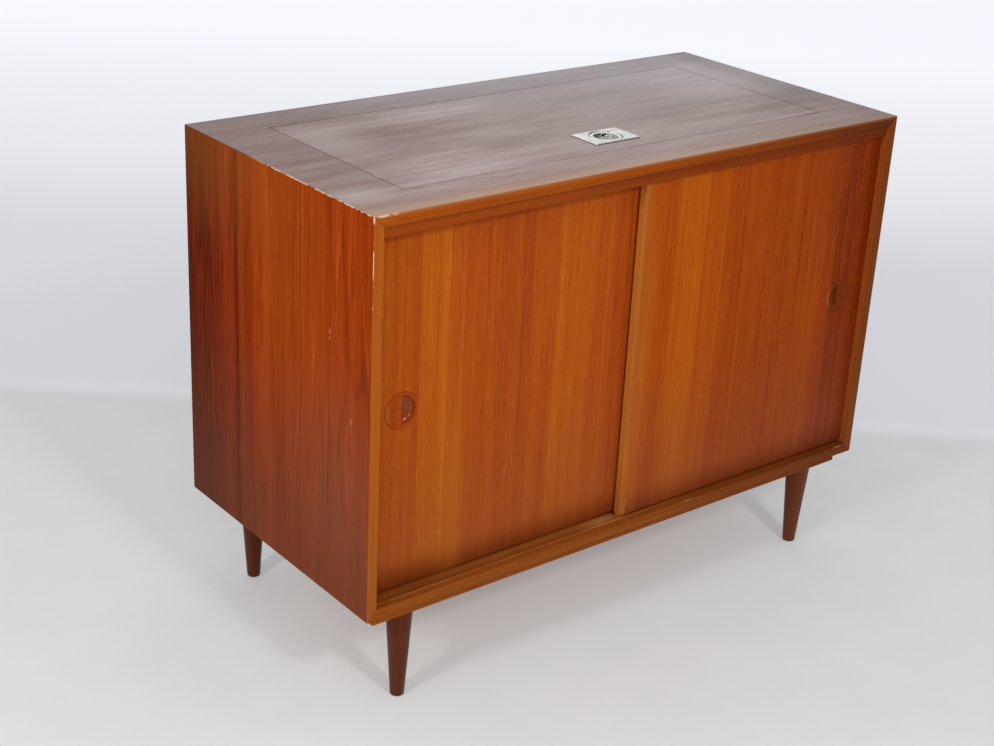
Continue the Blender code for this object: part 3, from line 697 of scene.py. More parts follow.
class Finishes:
    """Every finish of the cabinet, made once."""

    def __init__(self) -> None:
        """Find the case's left front corner and its wear, then make the materials."""
        side_low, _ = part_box("left_side")
        self.left, self.right, self.front = side_low.x, -side_low.x, side_low.y
        self.top_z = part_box("top_panel")[1].z
        corner = (self.left, self.front, self.top_z)
        self.side_knocks = Chips(corner, Axis.Y, run=(self.front, 0.06), reach_mm=1.3, share=0.70,
                                 length_mm=9.0)
        self.corner_knock = Chips(corner, Axis.X, run=(self.left, self.left + 0.04), reach_mm=2.2, share=0.7,
                                  length_mm=9.0)
        self.upright_rub = Chips(corner, Axis.Z, run=(self.top_z - 0.13, self.top_z + 0.08), reach_mm=0.7,
                                 share=0.55, length_mm=18.0)
        self.lost_corner = Chips(corner, Axis.Z, run=(self.top_z - 0.010, self.top_z + 0.02), reach_mm=3.6,
                                 share=1.0, length_mm=40.0)
        self.lip_wear = (self.corner_knock, self.upright_rub, self.lost_corner)
        self.side = self.side_veneer()
        self.doors = self.door_veneers()
        self.top, self.lid = self.faded_veneers()
        self.top_lip, self.side_lips = self.front_lips()
        self.rail, self.edge, self.track = self.rails()
        self.strip = self.door_strip()
        self.pulls, self.scoops = self.door_pulls()
        self.inner, self.inside_level, self.inside_upright = self.inside_faces()
        # Turned teak, stained dark: an even red-brown with a soft shine; the right legs are painted lighter
        # and warmer, a painted light.
        self.leg = Wood("turned_dark_teak", Axis.Z, ("#3a1a0f", "#532818", "#6a3622"), SOLID,
                        (TintGradient(RIGHTWARDS, 0.20, self.right, "#7d4630", 0.40),), roughness=0.38,
                        specular=0.25).build()
        # Bare birch plywood, sanded: pale straw with broad faint streaks, quite matt.
        self.plywood = Wood("birch_plywood", Axis.X, ("#a98a62", "#bfa077", "#cfb48c"), FLAT_SAWN,
                            wander_mm=9, roughness=0.7, pore_weight=0.05).build()
        # Satin nickel on pressed steel: a bright, softly blurred mirror, painted grey-green deeper in the
        # dish, a painted shade and reflection.
        plate_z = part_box("flush_pull_plate")[1].z
        dish_shade = TintGradient(DOWN, -plate_z + 0.0035, -plate_z + 0.0090, "#6f776e", 0.65, Rise.STEADY)
        self.nickel = Metal("satin_nickel_plate", "#eeeee9", "#cfcfca", roughness=0.24,
                            marks=(dish_shade,)).build()
        # Plain brass, unpolished: warm yellow with brown handling marks.
        self.brass = Metal("plain_brass", "#c9a45c", "#8f7140", roughness=0.35).build()
        # Zinc-plated steel, as on bolts: a cool, dull grey.
        self.steel = Metal("zinc_plated_steel", "#b5b7ba", "#8b8d90", roughness=0.40).build()

    def side_veneer(self) -> Material:
        """Make the veneer of the two sides.

        Returns:
            The finish.
        """
        # Flat-sawn teak, oiled: deep red-brown with dark growth lines and almost no shine. Painted darker and
        # greyer towards
        # the foot and greyer low at the front: painted shade and a painted reflection of the floor.
        scuffs = [Chips((self.left, scuff_y, 0.0), Axis.Z, run, reach_mm, share=1.0, length_mm=6.0,
                        tint="#cf8c60")
                  for scuff_y, run, reach_mm in ((-0.144, (0.556, 0.576), 1.0), (-0.197, (0.450, 0.462), 1.2))]
        marks = (TintGradient(DOWN, -0.56, FOOT, "#623e30", 0.62),
                 Patch((self.left, 0.20, self.top_z), (THROUGH_SIDE, 0.40, 0.20), "#a8702f", 0.20),
                 Patch((self.left, -0.05, 0.60), (THROUGH_SIDE, 0.15, 0.30), "#ad5206", 0.25),
                 Patch((self.left, -0.18, 0.36), (THROUGH_SIDE, 0.20, 0.26), "#916249", 0.19),
                 self.side_knocks, self.upright_rub, self.lost_corner, *scuffs)
        return Wood("oiled_teak_side_veneer", Axis.Z, ("#541603", "#7b2703", "#983603", "#ae460a", "#c05f1e"),
                    FLAT_SAWN, marks, seed=3.0,
                    rings=(Rings(70, 1100, 11, 0.10, 0.75), Rings(36, 1500, 9, -0.15, 0.90)),
                    layup=Layup(Axis.Y, self.front, SIDE_LEAVES), wander_mm=6, specular=0.014).build()

    def door_veneers(self) -> dict[Hand, Material]:
        """Make the veneer of each door.

        Returns:
            A finish for each hand.
        """
        strip_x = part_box("right_door_lipping")[0].x
        made = {}
        # Quarter-sawn teak, oiled: fine straight ribbons of gold, red and brown with a faint sheen. Each door
        # is painted darker and greyer towards its foot, a painted shade with a painted reflection of the
        # floor, and darker still just above the track; the left door's lower left and the right door's upper
        # right are painted darker too, all painted shade.
        for hand, seed, leaves, shades, wear_and_shade, patches in (
                (Hand.LEFT, 1.0, LEFT_DOOR_LEAVES,
                 ("#70240c", "#963b12", "#aa4b12", "#b65d0f", "#c97819"), "#8d4f2c",
                 (Patch((-0.337, self.front, 0.31), (0.03, THROUGH, 0.26), "#b5641c", 0.50),
                  Patch((-0.44, self.front, 0.185), (0.16, THROUGH, 0.05), "#5a1e06", 0.35))),
                (Hand.RIGHT, 8.0, RIGHT_DOOR_LEAVES,
                 ("#702304", "#953a04", "#a94905", "#b65b09", "#c97618"), "#7e4630",
                 (Patch((strip_x, self.front, 0.42), (0.05, THROUGH, 0.40), "#b87432", 0.28),
                  Patch((0.39, self.front, 0.68), (0.09, THROUGH, 0.26), "#702e06", 0.30)))):
            marks = (TintGradient(DOWN, -0.48, FOOT, wear_and_shade, 0.38), TintGradient(DOWN, -0.240, -0.180, "#521c04", 0.62),
                     *patches)
            layup = Layup(Axis.X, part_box(f"{hand.value}_door")[0].x, leaves)
            made[hand] = Wood(f"oiled_teak_{hand.value}_door_veneer", Axis.Z, shades, RIBBON, marks,
                              seed=seed, layup=layup, wander_mm=2.5, specular=0.07).build()
        return made

    def faded_veneers(self) -> tuple[Material, Material]:
        """Make the faded veneer of the top's border and of the lid.

        Returns:
            The finishes of the top and the lid.
        """
        low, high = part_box("flush_pull_plate")
        middle, half = (low + high) / 2, (high - low) / 2
        # Painted shade: a dark line round the pull plate, shifted towards its front and left.
        lean = 0.6 * MM
        plate_shade = EdgeShade((middle.x - lean, middle.y - lean, 0.0), (half.x, half.y, 0.0), reach_mm=1.8,
                      tint="#2c1c16", amount=0.85)
        reach = -self.front
        glare = TintGradient((0.4, 1.0, 0.0), -0.05, 0.35, "#cbc1c6", 0.65)
        both = (Patch((0.06, -0.08, self.top_z), (0.42, 0.30, THROUGH), "#b9a4a0", 0.55),
                Patch((self.left, 0.08, self.top_z), (0.40, 0.40, THROUGH), "#6b4634", 0.62))
        # The border is duller than the lid, brown where hands rub its front and darker along its back and
        # right edges;
        # its right front corner is painted dark, a painted shade.
        border = (glare, TintGradient(BACKWARDS, 0.15, 0.20, "#6f5a56", 0.34),
                  TintGradient(RIGHTWARDS, 0.43, 0.47, "#6f5a56", 0.40), TintGradient(FORWARDS, 0.15, reach, "#a2745c", 0.50),
                  TintGradient(FORWARDS, reach - 0.034, reach, "#b98a5e", 0.85), *both,
                  Patch((self.right, self.front, self.top_z), (0.36, 0.12, THROUGH), "#745a50", 0.68),
                  Patch((0.22, -0.22, self.top_z), (0.22, 0.06, THROUGH), "#8a6852", 0.35),
                  Patch((-0.47, -0.155, self.top_z), (0.09, 0.05, THROUGH), "#cbb8b0", 0.48))
        field = (glare, *both, Patch((-0.23, 0.00, self.top_z), (0.13, 0.06, THROUGH), "#77594e", 0.45),
                 Patch((-0.37, 0.06, self.top_z), (0.10, 0.14, THROUGH), "#c0aaa8", 0.42), plate_shade)
        # Teak bleached by light and wear: grey-brown and cloudy, with a white gloss and a dusty bloom. Its
        # grey-mauve cast is partly painted reflection of the pale room, and the glare is a painted reflection,
        # paler towards the back.
        top, lid = (
            Wood(f"faded_teak_{piece}_veneer", Axis.X, shades, FADED,
                 (*marks, self.side_knocks, self.corner_knock, self.lost_corner), seed=5.0, wander_mm=5,
                 roughness=0.38, specular=0.3, gloss_tint="#ffffff", film=0.10).build()
            for piece, shades, marks in (
                ("top", ("#4b3229", "#725144", "#8c6b60", "#a2867e", "#b8a19c"), border),
                ("lid", ("#50382f", "#7a5b4e", "#95766e", "#af938f", "#c5b1ae"), field)))
        return top, lid

    def front_lips(self) -> tuple[Material, dict[Hand, Material]]:
        """Make the solid front edges of the top and the sides.

        Returns:
            The finish of the top's lip, and one for each side's.
        """
        # Solid teak edges: plain brown with long fibres. Gold on the left and dark on the right are painted
        # light and
        # shade: the top's lip runs from pale to dark along its length, and the left side's lip has lighter
        # shades than the right's. The top's lip is paler at its upper edge, worn and with a painted highlight;
        # the sides' lips darken towards the foot, a painted shade.
        rub_and_highlight = TintGradient(UP, self.top_z - 0.005, self.top_z, "#b07f55", 0.45)
        top = Wood("solid_teak_top_lip", Axis.X, ("#5a2605", "#8e400b", "#bc5f18"), SOLID,
                   (rub_and_highlight, *self.lip_wear),
                   layup=Layup(Axis.X, self.left, (Leaf(500, 0.16, 0.02), Leaf(500, 0.00, -0.36))),
                   specular=0.08).build()
        foot_shade = TintGradient(DOWN, -0.45, FOOT, "#7c4a26", 0.4)
        sides = {
            hand: Wood(f"solid_teak_{hand.value}_lip", Axis.Z, shades, SOLID, (foot_shade, *self.lip_wear),
                       specular=0.08).build()
            for hand, shades in ((Hand.LEFT, ("#883f10", "#ad5918", "#c57d3a")),
                                 (Hand.RIGHT, ("#5c2907", "#7a3b0c", "#92521c")))
        }
        return top, sides

    def rails(self) -> tuple[Material, Material, Material]:
        """Make the finishes of the long rails along the front.

        Returns:
            The finishes of the guide rail, of the lipping with the battens, and of the door track.
        """
        # Solid teak, painted darker for the shade of the top above it: red-brown, hardly any shine, and darker
        # to the right, a painted shade.
        guide = Wood("shaded_teak_guide_rail", Axis.X, ("#52200a", "#80350d", "#a84e18"), SOLID, seed=2.0,
                     layup=Layup(Axis.X, self.left, (Leaf(500, 0.26, 0.06), Leaf(500, 0.06, -0.20))),
                     specular=0.05).build()
        # Solid teak lipping: even brown with a faint sheen, painted darker towards its right end, a painted
        # shade, and two pale knocks on its upper edge.
        lip_low, lip_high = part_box("bottom_lipping")
        lip_edge = (0.0, lip_low.y, lip_high.z)
        knocks = [Chips(lip_edge, Axis.X, run, reach_mm, share=1.0, length_mm=length_mm, tint=tint)
                  for run, reach_mm, length_mm, tint in (((0.102, 0.122), 1.1, 6.0, "#a87a50"),
                                                         ((0.452, 0.486), 1.2, 8.0, "#a8775a"))]
        edge = Wood("solid_teak_rail", Axis.X, ("#5a280a", "#874313", "#ab6224"), SOLID, tuple(knocks),
                    layup=Layup(Axis.X, self.left, (Leaf(600, 0.08, 0.03), Leaf(400, 0.01, -0.26))),
                    specular=0.08).build()
        # Solid teak worn by the doors: dull brown, pale along its edge and where the doors meet, and painted
        # darker towards its right end, a painted shade.
        track_low, track_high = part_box("door_track")
        rub = Patch((-0.05, track_low.y, track_high.z), (0.055, 0.04, 0.02), "#c08a58", 0.60)
        wear = Chips((0.0, track_low.y, track_high.z), Axis.X, (self.left, 0.10), reach_mm=1.0, share=0.75,
                     length_mm=14.0, tint="#b98050")
        track = Wood("worn_teak_track", Axis.X, ("#602e10", "#8f471a", "#aa622a"), SOLID, (rub, wear),
                     layup=Layup(Axis.X, self.left, (Leaf(600, 0.02, 0.14), Leaf(400, -0.02, -0.36))),
                     specular=0.05).build()
        return guide, edge, track

    def door_strip(self) -> Material:
        """Make the solid strip on a door's meeting edge.

        Returns:
            The finish.
        """
        # Solid teak, lighter than the veneer: its narrow face along the free edge is painted paler, a painted
        # light, and it darkens towards its foot, a painted shade.
        edge = -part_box("right_door_lipping")[0].x
        marks = (TintGradient(LEFTWARDS, edge - 0.001, edge, "#c2742e", 0.60),
                 TintGradient(DOWN, -0.30, FOOT, "#7c4a26", 0.45))
        return Wood("solid_teak_strip", Axis.Z, ("#8c4716", "#ae5d20", "#c47a36"), SOLID, marks,
                    specular=0.10).build()

    def door_pulls(self) -> tuple[dict[Hand, Material], dict[Hand, Material]]:
        """Make the finishes of the finger pulls.

        Returns:
            A finish for each hand's disc, and one for each hand's scoop.
        """
        pulls, scoops = {}, {}
        # Turned teak, oiled: smoother than the veneer, with a painted highlight on its left rim; the right
        # disc's darker shades are partly painted shade, like the door's right end. Fingers polish the scoop,
        # so it shines, and its bottom is painted darker, a painted shade.
        for hand, shades, scoop_shades, gloss in (
                (Hand.LEFT, ("#7d2c05", "#a24009", "#b5520f"), ("#7d2c05", "#a24009", "#b5520f"), 0.16),
                (Hand.RIGHT, ("#5a2006", "#742d05", "#883c08"), ("#7c3512", "#96481c", "#aa5b2c"), 0.06)):
            face_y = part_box(f"{hand.value}_door")[0].y
            low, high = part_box(f"{hand.value}_door_pull")
            rub_w = 0.2 * (high.x - low.x)
            rub_and_highlight = TintGradient(LEFTWARDS, -low.x - rub_w, -low.x, "#b5663a", 0.5)
            pulls[hand] = Wood(f"oiled_teak_{hand.value}_pull", Axis.Z, shades, SOLID, (rub_and_highlight,),
                               roughness=0.30, specular=gloss, gloss_tint="#ffb27a").build()
            scoop_shade = TintGradient(BACKWARDS, face_y, face_y + 0.009, "#4a1606", 0.50)
            scoops[hand] = Wood(f"polished_teak_{hand.value}_scoop", Axis.Z, scoop_shades, SOLID, (scoop_shade,),
                                roughness=0.20, specular=0.38, gloss_tint="#ffe6d2").build()
        return pulls, scoops

    def inside_faces(self) -> tuple[Material, Material, Material]:
        """Make the finishes of the inner faces.

        Returns:
            The finishes of the outer boards' inner faces, of level boards and of uprights.
        """
        # Oiled teak of the inner faces, where little light reaches: red-brown ribbons with a faint sheen, in
        # pale shades that stand for the lit reveal beside the right door, a painted light.
        inner = Wood("oiled_teak_inner_face", Axis.Z, ("#6a2f12", "#984a1b", "#b86427"), RIBBON,
                     specular=0.08).build()
        # Teak veneer, hardly oiled: light brown ribbons, rather matt.
        level, upright = (
            Wood(name, grain, ("#8a5226", "#a5672f", "#b97c3f"), RIBBON, wander_mm=4, roughness=0.5).build()
            for name, grain in (("teak_inside_veneer", Axis.X), ("teak_inside_upright", Axis.Z)))
        return inner, level, upright


def dress(node: str, material: Material) -> None:
    """Give a CAD node one finish.

    Args:
        node: The node's name.
        material: Its finish.
    """
    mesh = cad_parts[node].data
    mesh.materials.clear()
    mesh.materials.append(material)
    LOG.info("dressed %s with %s", node, material.name)


def new_piece(name: str, bm: Shape, finishes: tuple[Material, ...], body: str, replaced: str,
              smooth_deg: float = 32.0) -> None:
    """Turn a bmesh into a piece that rides on a CAD body.

    Args:
        name: The piece's name.
        bm: Its shape, drawn in place; it is freed.
        finishes: Its finishes, by the material index of its faces.
        body: The CAD body that it moves with.
        replaced: The CAD node that it stands for.
        smooth_deg: Edges sharper than this stay sharp.
    """
    bmesh.ops.remove_doubles(bm, verts=bm.verts, dist=MERGE)
    bmesh.ops.recalc_face_normals(bm, faces=bm.faces)
    mesh = bpy.data.meshes.new(name)
    bm.to_mesh(mesh)
    bm.free()
    mesh.shade_smooth()
    mesh.set_sharp_from_angle(angle=math.radians(smooth_deg))
    for finish in finishes:
        mesh.materials.append(finish)
    piece = bpy.data.objects.new(name, mesh)
    bpy.context.scene.collection.objects.link(piece)
    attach(piece, body)
    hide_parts(replaced)
    LOG.info("made %s on %s", name, body)


def face_board(node: str, body: str, finishes: tuple[Material, ...],
               pick: Callable[[bmesh.types.BMFace], int]) -> None:
    """Let a copy of a CAD board stand for it, with a finish for each of its faces.

    Args:
        node: The CAD board.
        body: The CAD body that it moves with.
        finishes: The finishes that its faces choose from.
        pick: Gives the number of a face's finish.
    """
    bm = bmesh.new()
    bm.from_mesh(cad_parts[node].data)
    bmesh.ops.remove_doubles(bm, verts=bm.verts, dist=MERGE)
    for face in bm.faces:
        face.material_index = pick(face)
    new_piece(f"veneered_{node}", bm, finishes, body, node, smooth_deg=1.0)


def turned(profile: Profile, place: Matrix, steps: int = TURN_STEPS) -> Shape:
    """Spin a profile of (radius, height) points about Z and put it in its place.

    Args:
        profile: Points from one end to the other.
        place: Where the turned shape goes.
        steps: Segments in a full turn.

    Returns:
        The turned shape.
    """
    bm = bmesh.new()
    verts = [bm.verts.new((radius, 0.0, height)) for radius, height in profile]
    edges = [bm.edges.new(pair) for pair in zip(verts, verts[1:])]
    bmesh.ops.spin(bm, geom=verts + edges, cent=(0, 0, 0), axis=UP, angle=math.tau, steps=steps,
                   use_merge=True)
    bmesh.ops.remove_doubles(bm, verts=bm.verts, dist=MERGE)
    bmesh.ops.recalc_face_normals(bm, faces=bm.faces)
    bmesh.ops.transform(bm, matrix=place, verts=bm.verts)
    return bm


def arc(centre: tuple[float, float], radius: tuple[float, float], start: float, end: float,
        steps: int) -> Profile:
    """Work out points along an arc of an ellipse.

    Args:
        centre: The ellipse's centre.
        radius: Its two half axes.
        start: First angle, in degrees.
        end: Last angle, in degrees.
        steps: Segments along it.

    Returns:
        The points from start to end.
    """
    angles = [math.radians(start + (end - start) * i / steps) for i in range(steps + 1)]
    return [(centre[0] + radius[0] * math.cos(a), centre[1] + radius[1] * math.sin(a)) for a in angles]


def keep_side(bm: Shape, point: Vector, way: Point) -> None:
    """Cut a closed shape with a plane, keep the part that lies along a way and close it.

    Args:
        bm: The shape.
        point: A point of the plane.
        way: The plane's normal, towards the part that is kept.
    """
    bmesh.ops.bisect_plane(bm, geom=bm.verts[:] + bm.edges[:] + bm.faces[:], dist=ON_PLANE, plane_co=point,
                           plane_no=way, clear_inner=True)
    bmesh.ops.holes_fill(bm, edges=[edge for edge in bm.edges if edge.is_boundary], sides=0)
    bmesh.ops.recalc_face_normals(bm, faces=bm.faces)


def carve(bm: Shape, tool: Shape, join: Join) -> Shape:
    """Combine two closed shapes with a Boolean.

    Args:
        bm: The shape that is kept; it is freed.
        tool: The shape that cuts it or is welded to it; it is freed.
        join: What the tool does.

    Returns:
        The combined shape.
    """
    made = []
    for name, shape in (("carve_shape", bm), ("carve_tool", tool)):
        mesh = bpy.data.meshes.new(name)
        shape.to_mesh(mesh)
        shape.free()
        thing = bpy.data.objects.new(name, mesh)
        bpy.context.scene.collection.objects.link(thing)
        made.append(thing)
    modifier = made[0].modifiers.new("carve", "BOOLEAN")
    modifier.operation = join.value
    modifier.object = made[1]
    graph = bpy.context.evaluated_depsgraph_get()
    result = bmesh.new()
    result.from_mesh(made[0].evaluated_get(graph).to_mesh())
    for thing in made:
        mesh = thing.data
        bpy.data.objects.remove(thing)
        bpy.data.meshes.remove(mesh)
    return result


@dataclass
class Case:
    """The mitred case, its inside and its underframe."""

    finishes: Finishes
    lip_depth: float = 0.9 * MM

    def build(self) -> None:
        """Veneer the outer boards and give every other board its finish."""
        look = self.finishes
        for hand in Hand:
            self.veneer(f"{hand.value}_side", look.side, look.side_lips[hand], hand.inward)
        self.veneer("top_panel", look.top, look.top_lip, DOWN)
        by_finish = {
            look.rail: ["guide_rail"],
            look.edge: ["bottom_lipping", "front_batten", "rear_batten"],
            look.track: ["door_track"],
            look.inside_level: ["bottom_panel", "shelf", "well_floor", "well_front", "well_back"],
            look.inside_upright: ["centre_partition", "well_left", "well_right"],
            look.plywood: ["back_panel"],
            look.brass: ["shelf_pin_1", "shelf_pin_2", "shelf_pin_3", "shelf_pin_4", "lid_pivot_left",
                         "lid_pivot_right"],
            look.steel: [f"leg_bolt_{row}_{hand.value}" for row in ROWS for hand in Hand],
        }
        for material, nodes in by_finish.items():
            for node in nodes:
                dress(node, material)

    def veneer(self, node: str, outer: Material, lip: Material, inward: Point) -> None:
        """Give a board a veneered face, a solid front lip and a plain inner face.

        Args:
            node: The CAD board that it replaces.
            outer: Finish of its outer face.
            lip: Finish of its front edge.
            inward: The way that its inner face looks.
        """
        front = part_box(node)[0].y + self.lip_depth

        def pick(face: bmesh.types.BMFace) -> int:
            """Return 1 on the front edge, 2 on the inner face and 0 elsewhere."""
            if face.calc_center_median().y < front:
                return 1
            return 2 if face.normal.dot(Vector(inward)) > FACING else 0

        face_board(node, "case", (outer, lip, self.finishes.inner), pick)


@dataclass
class Legs:
    """Four turned legs that taper to a rounded foot."""

    finishes: Finishes
    foot_r: float = 10.5 * MM
    foot_round: float = 2.0 * MM
    top_round: float = 0.8 * MM

    def build(self) -> None:
        """Turn each leg in the place of its CAD solid."""
        for row in ROWS:
            for hand in Hand:
                self.turn(f"leg_{row}_{hand.value}")

    def turn(self, node: str) -> None:
        """Turn one leg.

        Args:
            node: The CAD leg that it replaces.
        """
        low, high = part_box(node)
        length = high.z - low.z
        top_r = (high.x - low.x) / 2
        foot = arc((self.foot_r - self.foot_round, self.foot_round), (self.foot_round, self.foot_round),
                   -90, 0, steps=8)
        head = arc((top_r - self.top_round, length - self.top_round), (self.top_round, self.top_round),
                   0, 90, steps=4)
        profile = [(0, 0), *foot, *head, (0, length)]
        place = Matrix.Translation(((low.x + high.x) / 2, (low.y + high.y) / 2, low.z))
        new_piece(f"turned_{node}", turned(profile, place), (self.finishes.leg,), "case", node)


@dataclass
class Door:
    """One sliding door: veneered panel, solid strip on its meeting edge and a scooped finger pull."""

    finishes: Finishes
    hand: Hand
    bead_w: float = 5.2 * MM
    face_dip: float = 0.5 * MM
    flat_share: float = 0.55
    scoop_r: float = 21.5 * MM
    scoop_floor: float = 2.0 * MM

    def build(self) -> None:
        """Dress the panel and make the pull."""
        dress(f"{self.hand.value}_door", self.finishes.doors[self.hand])
        dress(f"{self.hand.value}_door_lipping", self.finishes.strip)
        self.make_pull()

    def make_pull(self) -> None:
        """Turn the pull and scoop out the half that faces the middle of the case."""
        door = f"{self.hand.value}_door"
        node = f"{door}_pull"
        low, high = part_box(node)
        face_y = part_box(door)[0].y
        radius = (high.x - low.x) / 2
        depth = high.y - face_y
        half = self.bead_w / 2
        bead = arc((radius - half, 0), (half, face_y - low.y), 0, 180, steps=20)
        inner = radius - self.bead_w
        profile = [(0, -depth), (radius, -depth), *bead, (inner * self.flat_share, -self.face_dip),
                   (0, -self.face_dip)]
        centre = Vector(((low.x + high.x) / 2, face_y, (low.z + high.z) / 2))
        place = Matrix.Translation(centre) @ Matrix.Rotation(math.pi / 2, 4, "X")
        disc = turned(profile, place)
        scoop = bmesh.new()
        bmesh.ops.create_uvsphere(scoop, u_segments=TURN_STEPS, v_segments=TURN_STEPS // 2, radius=1.0)
        shape = Matrix.Diagonal((self.scoop_r, self.scoop_r, depth - self.scoop_floor, 1.0))
        bmesh.ops.transform(scoop, matrix=place @ shape, verts=scoop.verts)
        keep_side(scoop, centre, self.hand.inward)
        pull = carve(disc, scoop, Join.CUT)
        for face in pull.faces:
            at = face.calc_center_median() - centre
            face.material_index = int(at.y > 2 * self.face_dip and math.hypot(at.x, at.z) < inner)
        new_piece(f"scooped_{node}", pull, (self.finishes.pulls[self.hand], self.finishes.scoops[self.hand]),
                  door, node)


@dataclass
class Lid:
    """The lid and the bearings of its pivots."""

    finishes: Finishes

    def build(self) -> None:
        """Veneer the lid's upper face and edges, and dress the bearings."""
        face_board("lid", "lid", (self.finishes.lid, self.finishes.inside_level),
                   lambda face: int(face.normal.z < -FACING))
        for hand in Hand:
            dress(f"lid_bearing_{hand.value}", self.finishes.brass)


@dataclass
class FlushPull:
    """The flush pull let into the lid: a pressed plate with a dish, and the ring that lies in it."""

    finishes: Finishes
    plate_t: float = 1.5 * MM
    corner_r: float = 3.0 * MM
    edge_round: float = 0.6 * MM
    dish_depth: float = 10.8 * MM
    dish_wall: float = 1.4 * MM
    rim_round: float = 0.5 * MM
    ledge_w: float = 4.0 * MM
    ring_play: float = 0.8 * MM
    ring_side_play: float = 2.0 * MM
    ring_w: float = 5.6 * MM
    ring_squareness: float = 0.7
    pin_in: float = 6.0 * MM
    pin_r: float = 1.3 * MM
    gap: float = 0.3 * MM

    def __post_init__(self) -> None:
        """Read where the CAD plate and ring are."""
        self.low, self.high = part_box("flush_pull_plate")
        ring_low, ring_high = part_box("pull_ring")
        ring = ring_high - ring_low
        self.ring_r, self.ring_t = ring.x / 2, ring.z
        self.dish_r = self.ring_r + self.ring_side_play
        self.centre = Vector(((self.low.x + self.high.x) / 2, (self.low.y + self.high.y) / 2, self.high.z))
        ring_z = -self.ring_play / 2 - self.ring_t / 2
        self.pin = self.centre + Vector((0, self.ring_r - self.pin_in, ring_z))

    def build(self) -> None:
        """Make the plate and its ring."""
        new_piece("pressed_pull_plate", self.press_plate(), (self.finishes.nickel,), "lid",
                  "flush_pull_plate")
        new_piece("lift_ring", self.form_ring(), (self.finishes.nickel,), "pull_ring", "pull_ring")

    def cross_rod(self, radius: float, reach: float) -> Shape:
        """Make a rod along the ring's axis.

        Args:
            radius: The rod's radius.
            reach: How far it goes to either side.

        Returns:
            The rod.
        """
        profile = [(0, -reach), (radius, -reach), (radius, reach), (0, reach)]
        return turned(profile, Matrix.Translation(self.pin) @ Matrix.Rotation(math.pi / 2, 4, "Y"), ROD_STEPS)

    def flange(self) -> Shape:
        """Make the plate before its dish is pressed.

        Returns:
            A flat plate with round corners and a rounded upper rim.
        """
        bm = bmesh.new()
        size = self.high - self.low
        size.z = self.plate_t
        middle = Vector((self.centre.x, self.centre.y, self.high.z - self.plate_t / 2))
        bmesh.ops.create_cube(bm, size=1.0, matrix=Matrix.Translation(middle) @ Matrix.Diagonal((*size, 1.0)))
        upright = [edge for edge in bm.edges
                   if abs(edge.verts[0].co.z - edge.verts[1].co.z) > self.plate_t / 2]
        bmesh.ops.bevel(bm, geom=upright, offset=self.corner_r, offset_type="OFFSET", segments=6, profile=0.5,
                        affect="EDGES", material=-1)
        rim = [edge for edge in bm.edges if all(vert.co.z > middle.z for vert in edge.verts)]
        bmesh.ops.bevel(bm, geom=rim, offset=self.edge_round, offset_type="OFFSET", segments=3, profile=0.5,
                        affect="EDGES", material=-1)
        return bm

    def press_plate(self) -> Shape:
        """Press the plate: a flange, a cup under it, the dish and the pocket that the ring swings into.

        Returns:
            The plate.
        """
        here = Matrix.Translation(self.centre)
        cup_r = self.dish_r + self.dish_wall
        cup_z = self.low.z - self.high.z
        cup = [(0, -self.plate_t / 2), (cup_r, -self.plate_t / 2), (cup_r, cup_z), (0, cup_z)]
        bm = carve(self.flange(), turned(cup, here), Join.WELD)
        bm = carve(bm, self.cross_rod(self.pin_r + self.gap, cup_r), Join.CUT)
        bm = carve(bm, turned(self.dish_profile(), here), Join.CUT)
        pocket_z = self.pin.z - self.centre.z - math.hypot(self.pin_in, self.ring_t / 2) - self.ring_play
        pocket_r = self.dish_r - self.gap
        pocket = turned([(0, self.plate_t), (pocket_r, self.plate_t), (pocket_r, pocket_z), (0, pocket_z)],
                        here)
        keep_side(pocket, self.pin - Vector((0, self.ring_t, 0)), BACKWARDS)
        return carve(bm, pocket, Join.CUT)

    def dish_profile(self) -> Profile:
        """Draw the dish's hollow: rolled rim, wall, ledge and bowl.

        Returns:
            Points of radius and height.
        """
        ledge_z = -self.ring_t - self.ring_play
        bowl_r = self.dish_r - self.ledge_w
        sag = self.dish_depth + ledge_z
        sphere_r = (bowl_r ** 2 + sag ** 2) / (2 * sag)
        sweep = math.degrees(math.asin(bowl_r / sphere_r))
        bowl = arc((0, sphere_r - self.dish_depth), (sphere_r, sphere_r), sweep - 90, -90, steps=20)
        rim_r = self.dish_r + self.rim_round
        rim = arc((rim_r, -self.rim_round), (self.rim_round, self.rim_round), 90, 180, steps=5)
        return [(0, self.plate_t), (rim_r, self.plate_t), *rim, (self.dish_r, ledge_z), *bowl[:-1],
                (0, -self.dish_depth)]

    def form_ring(self) -> Shape:
        """Form the ring with its two pivot stubs.

        Returns:
            The ring.
        """
        half_w, half_t = self.ring_w / 2, self.ring_t / 2
        middle_r = self.ring_r - half_w
        ring_z = self.pin.z - self.centre.z

        def bulge(part: float) -> float:
            """Return a sine or cosine swollen towards a rounded square."""
            return math.copysign(abs(part) ** self.ring_squareness, part)

        angles = [math.tau * i / ROD_STEPS for i in range(ROD_STEPS + 1)]
        section = [(middle_r + half_w * bulge(math.cos(a)), ring_z + half_t * bulge(math.sin(a)))
                   for a in angles]
        ring = turned(section, Matrix.Translation(self.centre))
        pin_y = self.pin.y - self.centre.y
        reach = math.sqrt((self.dish_r + self.dish_wall) ** 2 - (pin_y + self.pin_r) ** 2)
        return carve(ring, self.cross_rod(self.pin_r, reach), Join.WELD)


@dataclass(frozen=True)
class SoftBox:
    """A square soft light: its place, the length of its side and its power in watts."""

    name: str
    place: Point
    size: float
    power: float


